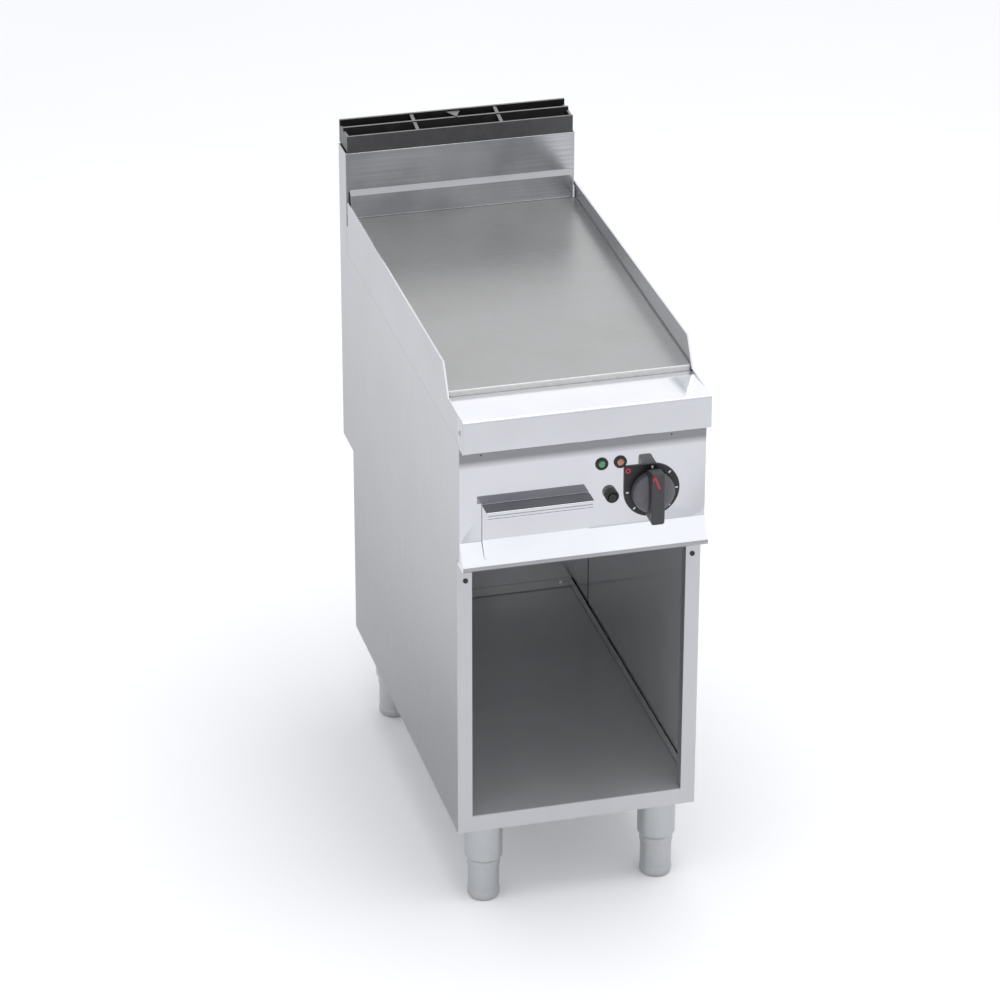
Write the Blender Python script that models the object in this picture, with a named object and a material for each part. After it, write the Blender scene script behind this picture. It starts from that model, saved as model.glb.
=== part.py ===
"""Free-standing flat top griddle on an open cabinet, 400 mm wide, modelled in metres.

The frame stands on the floor: +Z is up, -Y is the cook's side, and the origin is under the middle of the
whole appliance. Distances from front to back are given as depths behind the worktop's front edge.
"""
import math

import bmesh
import bpy
from mathutils import Matrix, Vector

# --- driving dimensions -----------------------------------------------------------------------------
HALF_WIDTH = 0.200
WORKTOP_FRONT = -0.4202           # Y of the worktop's front edge; depths are counted from here
WORKTOP_TOP = 0.9028
APRON_BOTTOM = 0.845              # lower edge of the worktop's front apron
SKIRT_BOTTOM = 0.8526             # lower edge of the worktop's sides
CABINET_BOTTOM = 0.1453
SHELF_TOP = 0.174
CABINET_DEPTH = 0.775             # depth of the cabinet's back
FLUE_DEPTH = 0.850                # depth of the flue's back
FLUE_FRONT = 0.796
FLUE_FOOT = 0.490                 # the flue duct starts here, behind the cabinet
FLUE_TOP = 1.0353
PANEL_DEPTH = 0.0249              # outer face of the control panel
PANEL_FOLD = 0.6813               # the panel turns outward here into the drip ledge
LEDGE_SLOPE = math.radians(33.7)  # lean of the drip ledge, measured from upright
LEDGE_LENGTH = 0.0395
NOSE_RADIUS = 0.006
SIDE_STEP = 0.645                 # the side panels step back below this height
SHEET = 0.0015                    # stainless sheet
THIN = 0.0012                     # drawer sheet
GAP = 0.0003                      # clearance between pieces that touch
INNER = HALF_WIDTH - SHEET - GAP  # half width available between the side panels

FRAME_DEPTH = 0.041               # front face of the cabinet's frame
POST_WIDTH = 0.024
HEADER_LOW = 0.628

PLATE_HALF = 0.1966
PLATE_FRONT = 0.106
PLATE_BACK = 0.7855
PLATE_TOP_FRONT = 0.907
PLATE_TOP_BACK = 0.9212
PLATE_THICK = 0.013

GUARD_TOP = 0.950
GUARD_FOOT = 0.097
GUARD_KINK = 0.128

DRAWER_LEFT = -0.164
DRAWER_RIGHT = 0.0095
PULL_TOP = 0.7455
PULL_OUT = 0.031                  # how far the drawer's pull stands out of the panel
PULL_LIP = 0.0135                 # height of its turned-down front edge
DRAWER_FOLD = 0.684               # the drawer front folds outward here, over the ledge
DRAWER_LENGTH = 0.460

KNOB_X = 0.1115
KNOB_Z = 0.738
DIAL_RADIUS = 0.0455
KNOB_DOME_RADIUS = 0.0345
KNOB_BAR_HALF = 0.0118
KNOB_BAR_REACH = 0.0445
KNOB_BAR_OUT = 0.040

PILOT_Z = 0.7924
PILOT_XS = {"green": 0.0296, "amber": 0.0598}
RESET_X = 0.0447
RESET_Z = 0.738
RESET_COLLAR = 0.012              # how far the collar around the reset button stands out

FOOT_X = 0.1475
FOOT_DEPTHS = {"front": 0.0805, "rear": 0.710}
SLEEVE_RADIUS = 0.0315
SLEEVE_LOW = 0.062
SLEEVE_SHOULDER = 0.0805          # the sleeve narrows below this height
SLEEVE_NECK = 0.0276
STEM_RADIUS = 0.026
STEM_BORE = 0.0264

GRILLE_HALF = 0.197
GRILLE_FRONT = 0.7965
GRILLE_BACK = 0.8555
GRILLE_WALL = 0.0042


def at(depth):
    """Y of a point that lies this far behind the worktop's front edge."""
    return WORKTOP_FRONT + depth


# --- finishes ---------------------------------------------------------------------------------------
FINISHES = {
    "brushed_steel": ((0.56, 0.57, 0.58), 0.30, 1.0),
    "polished_steel": ((0.72, 0.73, 0.74), 0.12, 1.0),
    "griddle_steel": ((0.46, 0.46, 0.45), 0.38, 1.0),
    "galvanised": ((0.38, 0.40, 0.41), 0.50, 1.0),
    "black_enamel": ((0.025, 0.025, 0.026), 0.45, 0.0),
    "black_plastic": ((0.030, 0.030, 0.032), 0.40, 0.0),
    "grey_plastic": ((0.45, 0.45, 0.44), 0.50, 0.0),
    "red_inlay": ((0.60, 0.03, 0.05), 0.45, 0.0),
    "green_lens": ((0.10, 0.50, 0.16), 0.20, 0.0),
    "amber_lens": ((0.75, 0.30, 0.16), 0.20, 0.0),
    "element_sheath": ((0.12, 0.11, 0.10), 0.55, 1.0),
    "insulation": ((0.75, 0.72, 0.66), 0.90, 0.0),
    "zinc": ((0.50, 0.50, 0.49), 0.35, 1.0),
}


def finish(name):
    """The Principled material of one finish, made once."""
    if name in bpy.data.materials:
        return bpy.data.materials[name]
    colour, roughness, metallic = FINISHES[name]
    material = bpy.data.materials.new(name)
    material.use_nodes = True
    shader = material.node_tree.nodes["Principled BSDF"]
    shader.inputs["Base Color"].default_value = (*colour, 1.0)
    shader.inputs["Roughness"].default_value = roughness
    shader.inputs["Metallic"].default_value = metallic
    material.diffuse_color = (*colour, 1.0)
    return material


# --- shape helpers ----------------------------------------------------------------------------------
def clear_scene():
    """Start from an empty scene."""
    for thing in list(bpy.data.objects):
        bpy.data.objects.remove(thing, do_unlink=True)


def add_piece(name, mesh_builder, finish_name, smooth=False):
    """Turn a bmesh into a named object with its finish."""
    bmesh.ops.recalc_face_normals(mesh_builder, faces=mesh_builder.faces)
    mesh = bpy.data.meshes.new(name)
    mesh_builder.to_mesh(mesh)
    mesh_builder.free()
    piece = bpy.data.objects.new(name, mesh)
    bpy.context.collection.objects.link(piece)
    mesh.materials.append(finish(finish_name))
    if smooth:
        mesh.shade_smooth()
        mesh.set_sharp_from_angle(angle=math.radians(35))
    return piece


def prism(outline, low, high, axis):
    """A closed prism: the outline's two coordinates are the axes left after the extrusion axis, in order."""
    def place(u, v, w):
        return {"X": (w, u, v), "Y": (u, w, v), "Z": (u, v, w)}[axis]

    builder = bmesh.new()
    rings = [[builder.verts.new(place(u, v, w)) for u, v in outline] for w in (low, high)]
    builder.faces.new(rings[0])
    builder.faces.new(rings[1][::-1])
    count = len(outline)
    for i in range(count):
        j = (i + 1) % count
        builder.faces.new((rings[0][i], rings[0][j], rings[1][j], rings[1][i]))
    bmesh.ops.recalc_face_normals(builder, faces=builder.faces)
    return builder


def block(low, high):
    """A closed box between two corners."""
    outline = [(low[0], low[1]), (high[0], low[1]), (high[0], high[1]), (low[0], high[1])]
    return prism(outline, low[2], high[2], "Z")


def folded_sheet(path, thickness):
    """The closed outline of a folded sheet: its outer face follows the path, metal to the path's right."""
    points = [Vector(p) for p in path]
    inner = []
    for i, point in enumerate(points):
        directions = []
        if i > 0:
            directions.append((point - points[i - 1]).normalized())
        if i < len(points) - 1:
            directions.append((points[i + 1] - point).normalized())
        normals = [Vector((d.y, -d.x)) for d in directions]
        mean = sum(normals, Vector((0.0, 0.0))).normalized()
        inner.append(point + mean * (thickness / mean.dot(normals[0])))
    return [tuple(p) for p in points] + [tuple(p) for p in reversed(inner)]


def arc(centre, radius, start, end, steps):
    """Points along a circular arc, angles in degrees."""
    angles = [math.radians(start + (end - start) * i / steps) for i in range(steps + 1)]
    return [(centre[0] + radius * math.cos(a), centre[1] + radius * math.sin(a)) for a in angles]


def turned(profile, centre, axis, segments=32):
    """A closed turned solid. The profile is (radius, distance along the axis), ends on or off the axis."""
    turn = {"Z": Matrix.Identity(3), "-Y": Matrix.Rotation(math.radians(90), 3, "X")}[axis]
    builder = bmesh.new()
    flat_ends = [profile[0][0] == 0 and profile[0][1] == profile[1][1],
                 profile[-1][0] == 0 and profile[-1][1] == profile[-2][1]]
    points = profile[1 if flat_ends[0] else 0:len(profile) - (1 if flat_ends[1] else 0)]
    rings = []
    for radius, height in points:
        count = segments if radius > 0 else 1
        spokes = [2 * math.pi * i / segments for i in range(count)]
        rings.append([builder.verts.new(Vector(centre) + turn @ Vector(
            (radius * math.cos(a), radius * math.sin(a), height))) for a in spokes])
    bored = points[0][0] > 0 and points[-1][0] > 0 and not any(flat_ends)
    for lower, upper in list(zip(rings, rings[1:])) + ([(rings[-1], rings[0])] if bored else []):
        for i in range(segments):
            j = (i + 1) % segments
            if len(lower) == 1:
                builder.faces.new((lower[0], upper[i], upper[j]))
            elif len(upper) == 1:
                builder.faces.new((lower[i], lower[j], upper[0]))
            else:
                builder.faces.new((lower[i], lower[j], upper[j], upper[i]))
    for is_flat, ring in zip(flat_ends, (rings[0], rings[-1])):
        if is_flat:
            builder.faces.new(ring)
    bmesh.ops.recalc_face_normals(builder, faces=builder.faces)
    return builder


def boolean(piece, builder, operation):
    """Join a second shape to a piece, or cut it out, with a hidden helper object."""
    helper = add_piece(f"{piece.name}_helper_{len(piece.modifiers)}", builder, "zinc")
    helper.hide_render = True
    helper.display_type = "WIRE"
    modifier = piece.modifiers.new(operation.lower(), "BOOLEAN")
    modifier.operation = operation
    modifier.solver = "EXACT"
    modifier.object = helper
    return piece


def joined(name, builders, finish_name, smooth=False):
    """One body made from overlapping shapes."""
    piece = add_piece(name, builders[0], finish_name, smooth)
    for builder in builders[1:]:
        boolean(piece, builder, "UNION")
    return piece


def cut(piece, *builders):
    """Cut shapes out of a piece."""
    for builder in builders:
        boolean(piece, builder, "DIFFERENCE")
    return piece


def tube(name, points, radius, finish_name, sides=2):
    """A bent bar or tube along a smooth route, with closed ends."""
    curve = bpy.data.curves.new(name, "CURVE")
    curve.dimensions = "3D"
    curve.bevel_depth = radius
    curve.bevel_resolution = sides
    curve.use_fill_caps = True
    spline = curve.splines.new("POLY")
    spline.points.add(len(points) - 1)
    for target, point in zip(spline.points, points):
        target.co = (*point, 1.0)
    piece = bpy.data.objects.new(name, curve)
    bpy.context.collection.objects.link(piece)
    curve.materials.append(finish(finish_name))
    return piece


def on_axis(piece, point):
    """Move a piece's origin onto its joint axis without moving its shape."""
    offset = Vector(point)
    piece.data.transform(Matrix.Translation(-offset))
    piece.location = offset
    return piece


# --- cabinet ----------------------------------------------------------------------------------------
def build_side_panels():
    """Each side is one sheet that also covers the side of the flue, stepped forward below the flue."""
    outline = [
        (at(FRAME_DEPTH + SHEET + GAP), CABINET_BOTTOM), (at(CABINET_DEPTH), CABINET_BOTTOM),
        (at(CABINET_DEPTH), FLUE_FOOT), (at(FLUE_DEPTH), FLUE_FOOT), (at(FLUE_DEPTH), FLUE_TOP),
        (at(FLUE_FRONT + SHEET + GAP), FLUE_TOP), (at(FLUE_FRONT + SHEET + GAP), SKIRT_BOTTOM - GAP),
        (at(PANEL_DEPTH + SHEET + GAP), SKIRT_BOTTOM - GAP), (at(PANEL_DEPTH + SHEET + GAP), SIDE_STEP),
        (at(FRAME_DEPTH + SHEET + GAP), SIDE_STEP),
    ]
    add_piece("left_side_panel", prism(outline, -HALF_WIDTH, SHEET - HALF_WIDTH, "X"), "brushed_steel")
    add_piece("right_side_panel", prism(outline, HALF_WIDTH - SHEET, HALF_WIDTH, "X"), "brushed_steel")


def build_front_frame():
    """Two posts, a bottom rail and a header under the ledge, folded back along the posts."""
    front, back = at(FRAME_DEPTH), at(FRAME_DEPTH + SHEET)
    opening = HALF_WIDTH - POST_WIDTH
    top = nose_centre()[1] - NOSE_RADIUS - GAP
    frame = add_piece("front_frame", block((-HALF_WIDTH, front, CABINET_BOTTOM), (HALF_WIDTH, back, top)),
                      "brushed_steel")
    cut(frame, block((-opening, front - 0.01, SHELF_TOP), (opening, back + 0.01, HEADER_LOW)))
    for side in (-1, 1):
        inner, outer = sorted((side * opening, side * (opening + SHEET)))
        flange = block((inner, at(FRAME_DEPTH + 0.0005), SHELF_TOP + 0.002), (outer, back + 0.018, top - 0.002))
        boolean(frame, flange, "UNION")


def build_inner_cabinet():
    """Shelf, ceiling, backs and the two rails that carry the feet."""
    edge = INNER
    start = at(FRAME_DEPTH + SHEET + GAP)
    shelf_path = [(-edge, SHELF_TOP - 0.026), (-edge, SHELF_TOP), (edge, SHELF_TOP), (edge, SHELF_TOP - 0.026)]
    add_piece("bottom_shelf", prism(folded_sheet(shelf_path, SHEET), start, at(0.7728), "Y"), "brushed_steel")
    ceiling_front = start + 0.0185
    add_piece("cavity_ceiling", block((-edge, ceiling_front, 0.6395), (edge, at(0.7728), 0.641)),
              "galvanised")
    add_piece("cabinet_back", block((-edge, at(0.7732), CABINET_BOTTOM), (edge, at(0.7747), 0.6405)),
              "brushed_steel")
    duct_path = [(at(FLUE_DEPTH - GAP), FLUE_TOP - 0.001), (at(FLUE_DEPTH - GAP), FLUE_FOOT),
                 (at(CABINET_DEPTH + 0.0015), FLUE_FOOT)]
    back = add_piece("flue_back", prism(folded_sheet(duct_path, SHEET), -edge, edge, "X"), "brushed_steel")
    slot = 0.030
    for row in range(5):
        low = 0.560 + 0.022 * row
        for side in (-1, 1):
            middle = side * 0.075
            cut(back, block((middle - slot, at(FLUE_DEPTH - 0.006), low),
                            (middle + slot, at(FLUE_DEPTH + 0.004), low + 0.006)))
    for side, label in ((-1, "left"), (1, "right")):
        middle = side * FOOT_X
        low = CABINET_BOTTOM
        high = SHELF_TOP - SHEET - GAP
        path = [(middle + 0.030, high), (middle + 0.030, low), (middle - 0.030, low), (middle - 0.030, high)]
        add_piece(f"{label}_foot_rail", prism(folded_sheet(path, 0.002), start + 0.002, at(0.770), "Y"),
                  "galvanised")


def build_feet():
    """Four round feet: a fixed sleeve under the rail and a lower part that screws up into it."""
    sleeve_top = CABINET_BOTTOM - GAP
    for x_side, side in ((-1, "left"), (1, "right")):
        for row, depth in FOOT_DEPTHS.items():
            centre = (x_side * FOOT_X, at(depth), 0.0)
            sleeve = [(0, sleeve_top), (SLEEVE_RADIUS - 0.001, sleeve_top), (SLEEVE_RADIUS, sleeve_top - 0.001),
                      (SLEEVE_RADIUS, SLEEVE_SHOULDER), (SLEEVE_NECK, SLEEVE_SHOULDER - 0.0095),
                      (SLEEVE_NECK, SLEEVE_LOW + 0.0006), (SLEEVE_NECK - 0.0005, SLEEVE_LOW),
                      (STEM_BORE, SLEEVE_LOW), (STEM_BORE, 0.1305), (0, 0.1305)]
            add_piece(f"{side}_{row}_foot_sleeve", turned(sleeve, centre, "Z"), "brushed_steel", smooth=True)
            stem = [(0, 0.130), (STEM_RADIUS - 0.002, 0.130), (STEM_RADIUS, 0.128), (STEM_RADIUS, 0.016),
                    (STEM_RADIUS + 0.0008, 0.012), (STEM_RADIUS + 0.0008, 0.007), (STEM_RADIUS - 0.0010, 0.003),
                    (STEM_RADIUS - 0.0035, 0.0), (0, 0.0)]
            piece = add_piece(f"{side}_{row}_foot_stem", turned(stem, centre, "Z"), "brushed_steel", smooth=True)
            on_axis(piece, centre)


# --- worktop, guards and flue -----------------------------------------------------------------------
def build_worktop():
    """The strip in front of the plate folds down into the apron; end plates close the apron's box."""
    nose = 0.006
    strip_back = (at(0.1045), 0.8975)
    rounding = arc((at(nose), WORKTOP_TOP - nose), nose, 90, 180, 5)
    path = [(at(0.0236), APRON_BOTTOM + 0.010), (at(0.0236), APRON_BOTTOM), (at(0.0), APRON_BOTTOM)]
    path += rounding[::-1] + [strip_back, (strip_back[0], strip_back[1] - 0.012)]
    strip = prism(folded_sheet(path, SHEET), -INNER, INNER, "X")
    end_outline = [(at(0.0), APRON_BOTTOM), (at(PANEL_DEPTH + SHEET), APRON_BOTTOM),
                   (at(PANEL_DEPTH + SHEET), SKIRT_BOTTOM), (at(0.030), SKIRT_BOTTOM), (at(0.030), 0.9015)]
    end_outline += rounding
    ends = [prism(end_outline, *sorted((side * (INNER - 0.0007), side * HALF_WIDTH)), "X") for side in (-1, 1)]
    joined("worktop_front", [strip] + ends, "polished_steel")
    for side, label in ((-1, "left"), (1, "right")):
        outline = [(at(0.0303), SKIRT_BOTTOM), (at(FLUE_FRONT - GAP), SKIRT_BOTTOM),
                   (at(FLUE_FRONT - GAP), 0.905), (at(0.7895), 0.905), (at(0.7895), GUARD_TOP),
                   (at(GUARD_KINK), GUARD_TOP), (at(GUARD_FOOT), 0.9025), (at(0.0303), 0.9012)]
        skin = prism(outline, *sorted((side * (HALF_WIDTH - SHEET), side * HALF_WIDTH)), "X")
        hem = [(at(0.7890), GUARD_TOP - 0.008), (at(0.7890), GUARD_TOP - 0.0005),
               (at(GUARD_KINK + 0.0004), GUARD_TOP - 0.0005), (at(GUARD_FOOT + 0.0010), 0.9026),
               (at(GUARD_FOOT + 0.0080), 0.9026), (at(GUARD_KINK + 0.0045), GUARD_TOP - 0.008)]
        fold = prism(hem, *sorted((side * (HALF_WIDTH - 2 * SHEET), side * (HALF_WIDTH - 0.0007))), "X")
        joined(f"{label}_splash_guard", [skin, fold], "brushed_steel")


def build_flue():
    """The splash back behind the plate, the flue's front and its cast grille."""
    splash = [(at(0.7862), 0.890), (at(0.7862), 0.9618), (at(FLUE_FRONT - GAP), 0.9695),
              (at(FLUE_FRONT - GAP), 0.9675), (at(0.7877), 0.9608), (at(0.7877), 0.890)]
    add_piece("splash_back", prism(splash, -0.1945, 0.1945, "X"), "brushed_steel")
    front_path = [(at(FLUE_FRONT), 0.906), (at(FLUE_FRONT), FLUE_TOP), (at(FLUE_FRONT + 0.006), FLUE_TOP)]
    front = add_piece("flue_front", prism(folded_sheet(front_path, SHEET), -HALF_WIDTH, HALF_WIDTH, "X"),
                      "brushed_steel")
    for side in (-1, 1):
        inner, outer = sorted((side * INNER, side * (HALF_WIDTH + 0.01)))
        cut(front, block((inner, at(FLUE_FRONT + SHEET), 0.90), (outer, at(FLUE_FRONT + 0.02), 1.05)))
    build_flue_grille()


def build_flue_grille():
    """Cast grille: a low rim with three louvres that climb towards the back and two ribs across."""
    foot = FLUE_TOP + GAP
    rim_top = foot + 0.0293
    front, back = at(GRILLE_FRONT), at(GRILLE_BACK)
    wall = GRILLE_WALL
    pieces = [block((-GRILLE_HALF, front, foot), (GRILLE_HALF, front + wall, rim_top + 0.0008))]
    for side in (-1, 1):
        low, high = sorted((side * GRILLE_HALF, side * (GRILLE_HALF - wall)))
        pieces.append(block((low, front + 0.001, foot), (high, back - 0.001, rim_top)))
    for depth, rise in ((0.8270, 0.0058), (GRILLE_BACK - 0.004, 0.0106)):
        y, top = at(depth), rim_top + rise
        louvre = [(y - 0.001, top), (y + 0.004, top), (y - 0.0045, foot + 0.010), (y - 0.0095, foot + 0.010)]
        if depth > 0.84:
            louvre = [(y - 0.001, top), (y + 0.004, top), (y + 0.004, foot), (y - 0.001, foot)]
        pieces.append(prism(louvre, -GRILLE_HALF, GRILLE_HALF, "X"))
    for x in (-0.073, 0.073):
        rib = [(front + 0.002, foot + 0.012), (back - 0.002, foot + 0.012), (back - 0.002, rim_top + 0.0095),
               (front + 0.002, rim_top - 0.001)]
        pieces.append(prism(rib, x - 0.003, x + 0.003, "X"))
    boss = [(-0.013, back - 0.003), (0.013, back - 0.003), (0.0, at(0.8250))]
    pieces.append(prism(boss, rim_top - 0.006, rim_top + 0.0075, "Z"))
    joined("flue_grille", pieces, "black_enamel")


# --- griddle plate and its heating ------------------------------------------------------------------
def plate_top(depth):
    """Height of the plate's surface, which falls towards the cook so that fat runs forward."""
    share = (depth - PLATE_FRONT) / (PLATE_BACK - PLATE_FRONT)
    return PLATE_TOP_FRONT + share * (PLATE_TOP_BACK - PLATE_TOP_FRONT)


def build_griddle():
    """Thick steel plate, three heating elements clamped under it, a heat pan and its insulation."""
    front = plate_top(PLATE_FRONT)
    back = plate_top(PLATE_BACK)
    rounding = [(at(PLATE_FRONT), front - 0.0025), (at(PLATE_FRONT + 0.0008), front - 0.0008),
                (at(PLATE_FRONT + 0.0025), front)]
    outline = [(at(PLATE_FRONT), front - PLATE_THICK + 0.001), (at(PLATE_FRONT + 0.001), front - PLATE_THICK),
               (at(PLATE_BACK), back - PLATE_THICK), (at(PLATE_BACK), back)] + rounding[::-1]
    add_piece("griddle_plate", prism(outline, -PLATE_HALF, PLATE_HALF, "X"), "griddle_steel")
    radius = 0.004
    drop = PLATE_THICK + radius + 0.0012
    for number, x in enumerate((-0.118, 0.0, 0.118), start=1):
        reach = 0.034
        far = 0.700
        route = [(x - reach, 0.175), (x - reach, 0.300), (x - reach, 0.450), (x - reach, far - reach)]
        route += [(x - reach * math.cos(math.radians(a)), far - reach + reach * math.sin(math.radians(a)))
                  for a in range(20, 180, 20)]
        route += [(x + reach, far - reach), (x + reach, 0.450), (x + reach, 0.300), (x + reach, 0.175)]
        points = [(px, at(depth), plate_top(depth) - drop) for px, depth in route]
        tube(f"heating_element_{number}", points, radius, "element_sheath", sides=1)
    for number, depth in enumerate((0.280, 0.560), start=1):
        high = plate_top(depth) - drop - radius - 0.001
        add_piece(f"element_clamp_{number}", block((-0.165, at(depth), high - 0.004),
                                                   (0.165, at(depth + 0.018), high)), "galvanised")
    add_piece("insulation_board", block((-0.180, at(0.135), 0.8515), (0.180, at(0.760), 0.8705)), "insulation")
    pan_path = [(-0.183, 0.874), (-0.183, 0.8495), (0.183, 0.8495), (0.183, 0.874)]
    add_piece("heat_pan", prism(folded_sheet(pan_path[::-1], THIN), at(0.130), at(0.765), "Y"), "galvanised")


def build_grease_path():
    """A gutter under the plate's front edge drops the fat through a spout into the drawer."""
    path = [(at(0.0930), 0.8925), (at(0.0930), 0.868), (at(0.111), 0.862), (at(0.1285), 0.868),
            (at(0.1285), 0.8925)]
    gutter = add_piece("grease_gutter", prism(folded_sheet(path[::-1], THIN), -0.186, 0.186, "X"),
                       "brushed_steel")
    centre = (-0.078, at(0.111), 0.0)
    cut(gutter, turned([(0, 0.850), (0.0085, 0.850), (0.0085, 0.880), (0, 0.880)], centre, "Z", 20))
    spout = [(0.0080, 0.8665), (0.0080, 0.752), (0.0068, 0.752), (0.0068, 0.8665)]
    add_piece("grease_spout", turned(spout, centre, "Z", 20), "brushed_steel", smooth=True)


# --- control panel and grease drawer ----------------------------------------------------------------
def ledge_end():
    """Where the sloping ledge meets its rolled nose: depth and height."""
    return (PANEL_DEPTH - LEDGE_LENGTH * math.sin(LEDGE_SLOPE), PANEL_FOLD - LEDGE_LENGTH * math.cos(LEDGE_SLOPE))


def nose_centre():
    """Centre of the ledge's rolled nose: depth and height."""
    depth, height = ledge_end()
    return depth + NOSE_RADIUS * math.cos(LEDGE_SLOPE), height - NOSE_RADIUS * math.sin(LEDGE_SLOPE)


def build_control_panel():
    """One sheet: upright panel, sloping drip ledge, rolled nose and a return under it, with end plates."""
    depth, height = nose_centre()
    low = height - NOSE_RADIUS
    roll = arc((at(depth), height), NOSE_RADIUS, 180 - math.degrees(LEDGE_SLOPE), 270, 7)
    path = [(at(0.0400), low)] + roll[::-1] + [(at(PANEL_DEPTH), PANEL_FOLD), (at(PANEL_DEPTH), 0.866)]
    sheet = prism(folded_sheet(path, SHEET), -HALF_WIDTH, HALF_WIDTH, "X")
    end_outline = [(at(PANEL_DEPTH + SHEET), PANEL_FOLD + 0.0005), (at(PANEL_DEPTH + 0.0002), PANEL_FOLD)]
    end_outline += roll + [(at(0.0395), low), (at(0.0395), SIDE_STEP - GAP),
                           (at(PANEL_DEPTH + SHEET), SIDE_STEP - GAP)]
    ends = [prism(end_outline, *sorted((side * (HALF_WIDTH - SHEET), side * HALF_WIDTH)), "X")
            for side in (-1, 1)]
    panel = joined("control_panel", [sheet] + ends, "polished_steel")
    front, back = at(0.018), at(0.034)
    tongue = INNER - 0.0011       # the panel's top slips between the end plates of the apron
    cut(panel, block((-HALF_WIDTH - 0.01, front, APRON_BOTTOM - GAP), (-tongue, back, 0.90)),
        block((tongue, front, APRON_BOTTOM - GAP), (HALF_WIDTH + 0.01, back, 0.90)),
        block((DRAWER_LEFT + 0.006, front, 0.6880), (DRAWER_RIGHT - 0.006, back, 0.7430)))
    for x in PILOT_XS.values():
        cut(panel, turned([(0, 0), (0.0082, 0), (0.0082, 0.04), (0, 0.04)], (x, back, PILOT_Z), "-Y", 20))
    cut(panel, turned([(0, 0), (0.0085, 0), (0.0085, 0.04), (0, 0.04)], (RESET_X, back, RESET_Z), "-Y", 20))
    cut(panel, turned([(0, 0), (0.0065, 0), (0.0065, 0.04), (0, 0.04)],
                      (KNOB_X, back, KNOB_Z), "-Y", 20))


def build_drawer():
    """Grease drawer: a bent front with a hooked pull along its top, a tray behind it and two runners."""
    face = PANEL_DEPTH - GAP - THIN
    lip = PANEL_DEPTH - PULL_OUT
    path = [(at(0.0070), 0.6568), (at(face), DRAWER_FOLD), (at(face), PULL_TOP), (at(lip), PULL_TOP),
            (at(lip), PULL_TOP - PULL_LIP)]
    add_piece("drawer_front", prism(folded_sheet(path[::-1], THIN), DRAWER_LEFT, DRAWER_RIGHT, "X"),
              "polished_steel")
    left, right = DRAWER_LEFT + 0.0105, DRAWER_RIGHT - 0.0105
    low, high = 0.691, 0.7385
    start = face + THIN + GAP
    wall = THIN
    tray = add_piece("drawer_tray", block((left, at(start), low), (right, at(DRAWER_LENGTH), high)),
                     "brushed_steel")
    cut(tray, block((left + wall, at(start + wall), low + wall),
                    (right - wall, at(DRAWER_LENGTH - wall), high + 0.01)))
    for side, edge, label in ((-1, left, "left"), (1, right, "right")):
        outer = edge + side * (0.0005 + THIN)
        inner = edge - side * 0.010
        lip_low = low - 0.0005 - THIN
        path = [(outer, high - 0.010), (outer, lip_low), (inner, lip_low)]
        if side > 0:
            path = path[::-1]
        outline = folded_sheet(path, -THIN)
        runner_start = at(PANEL_DEPTH + SHEET + GAP)
        add_piece(f"{label}_drawer_runner", prism(outline, runner_start, at(DRAWER_LENGTH + 0.010), "Y"),
                  "galvanised")


def slanted_mark(half_width, front, back):
    """The knob's index: a slanted bar inlaid in the upper half of its grip, pointing at the off mark."""
    top, foot = Vector((-0.0062, 0.0395)), Vector((0.0018, 0.0195))
    along = (top - foot).normalized()
    across = Vector((along.y, -along.x)) * half_width
    tip = along * (half_width - 0.0013)
    corners = (foot - across - tip, foot + across - tip, top + across + tip, top - across + tip)
    return prism([(KNOB_X + c.x, KNOB_Z + c.y) for c in corners], front, back, "Y")


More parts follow.
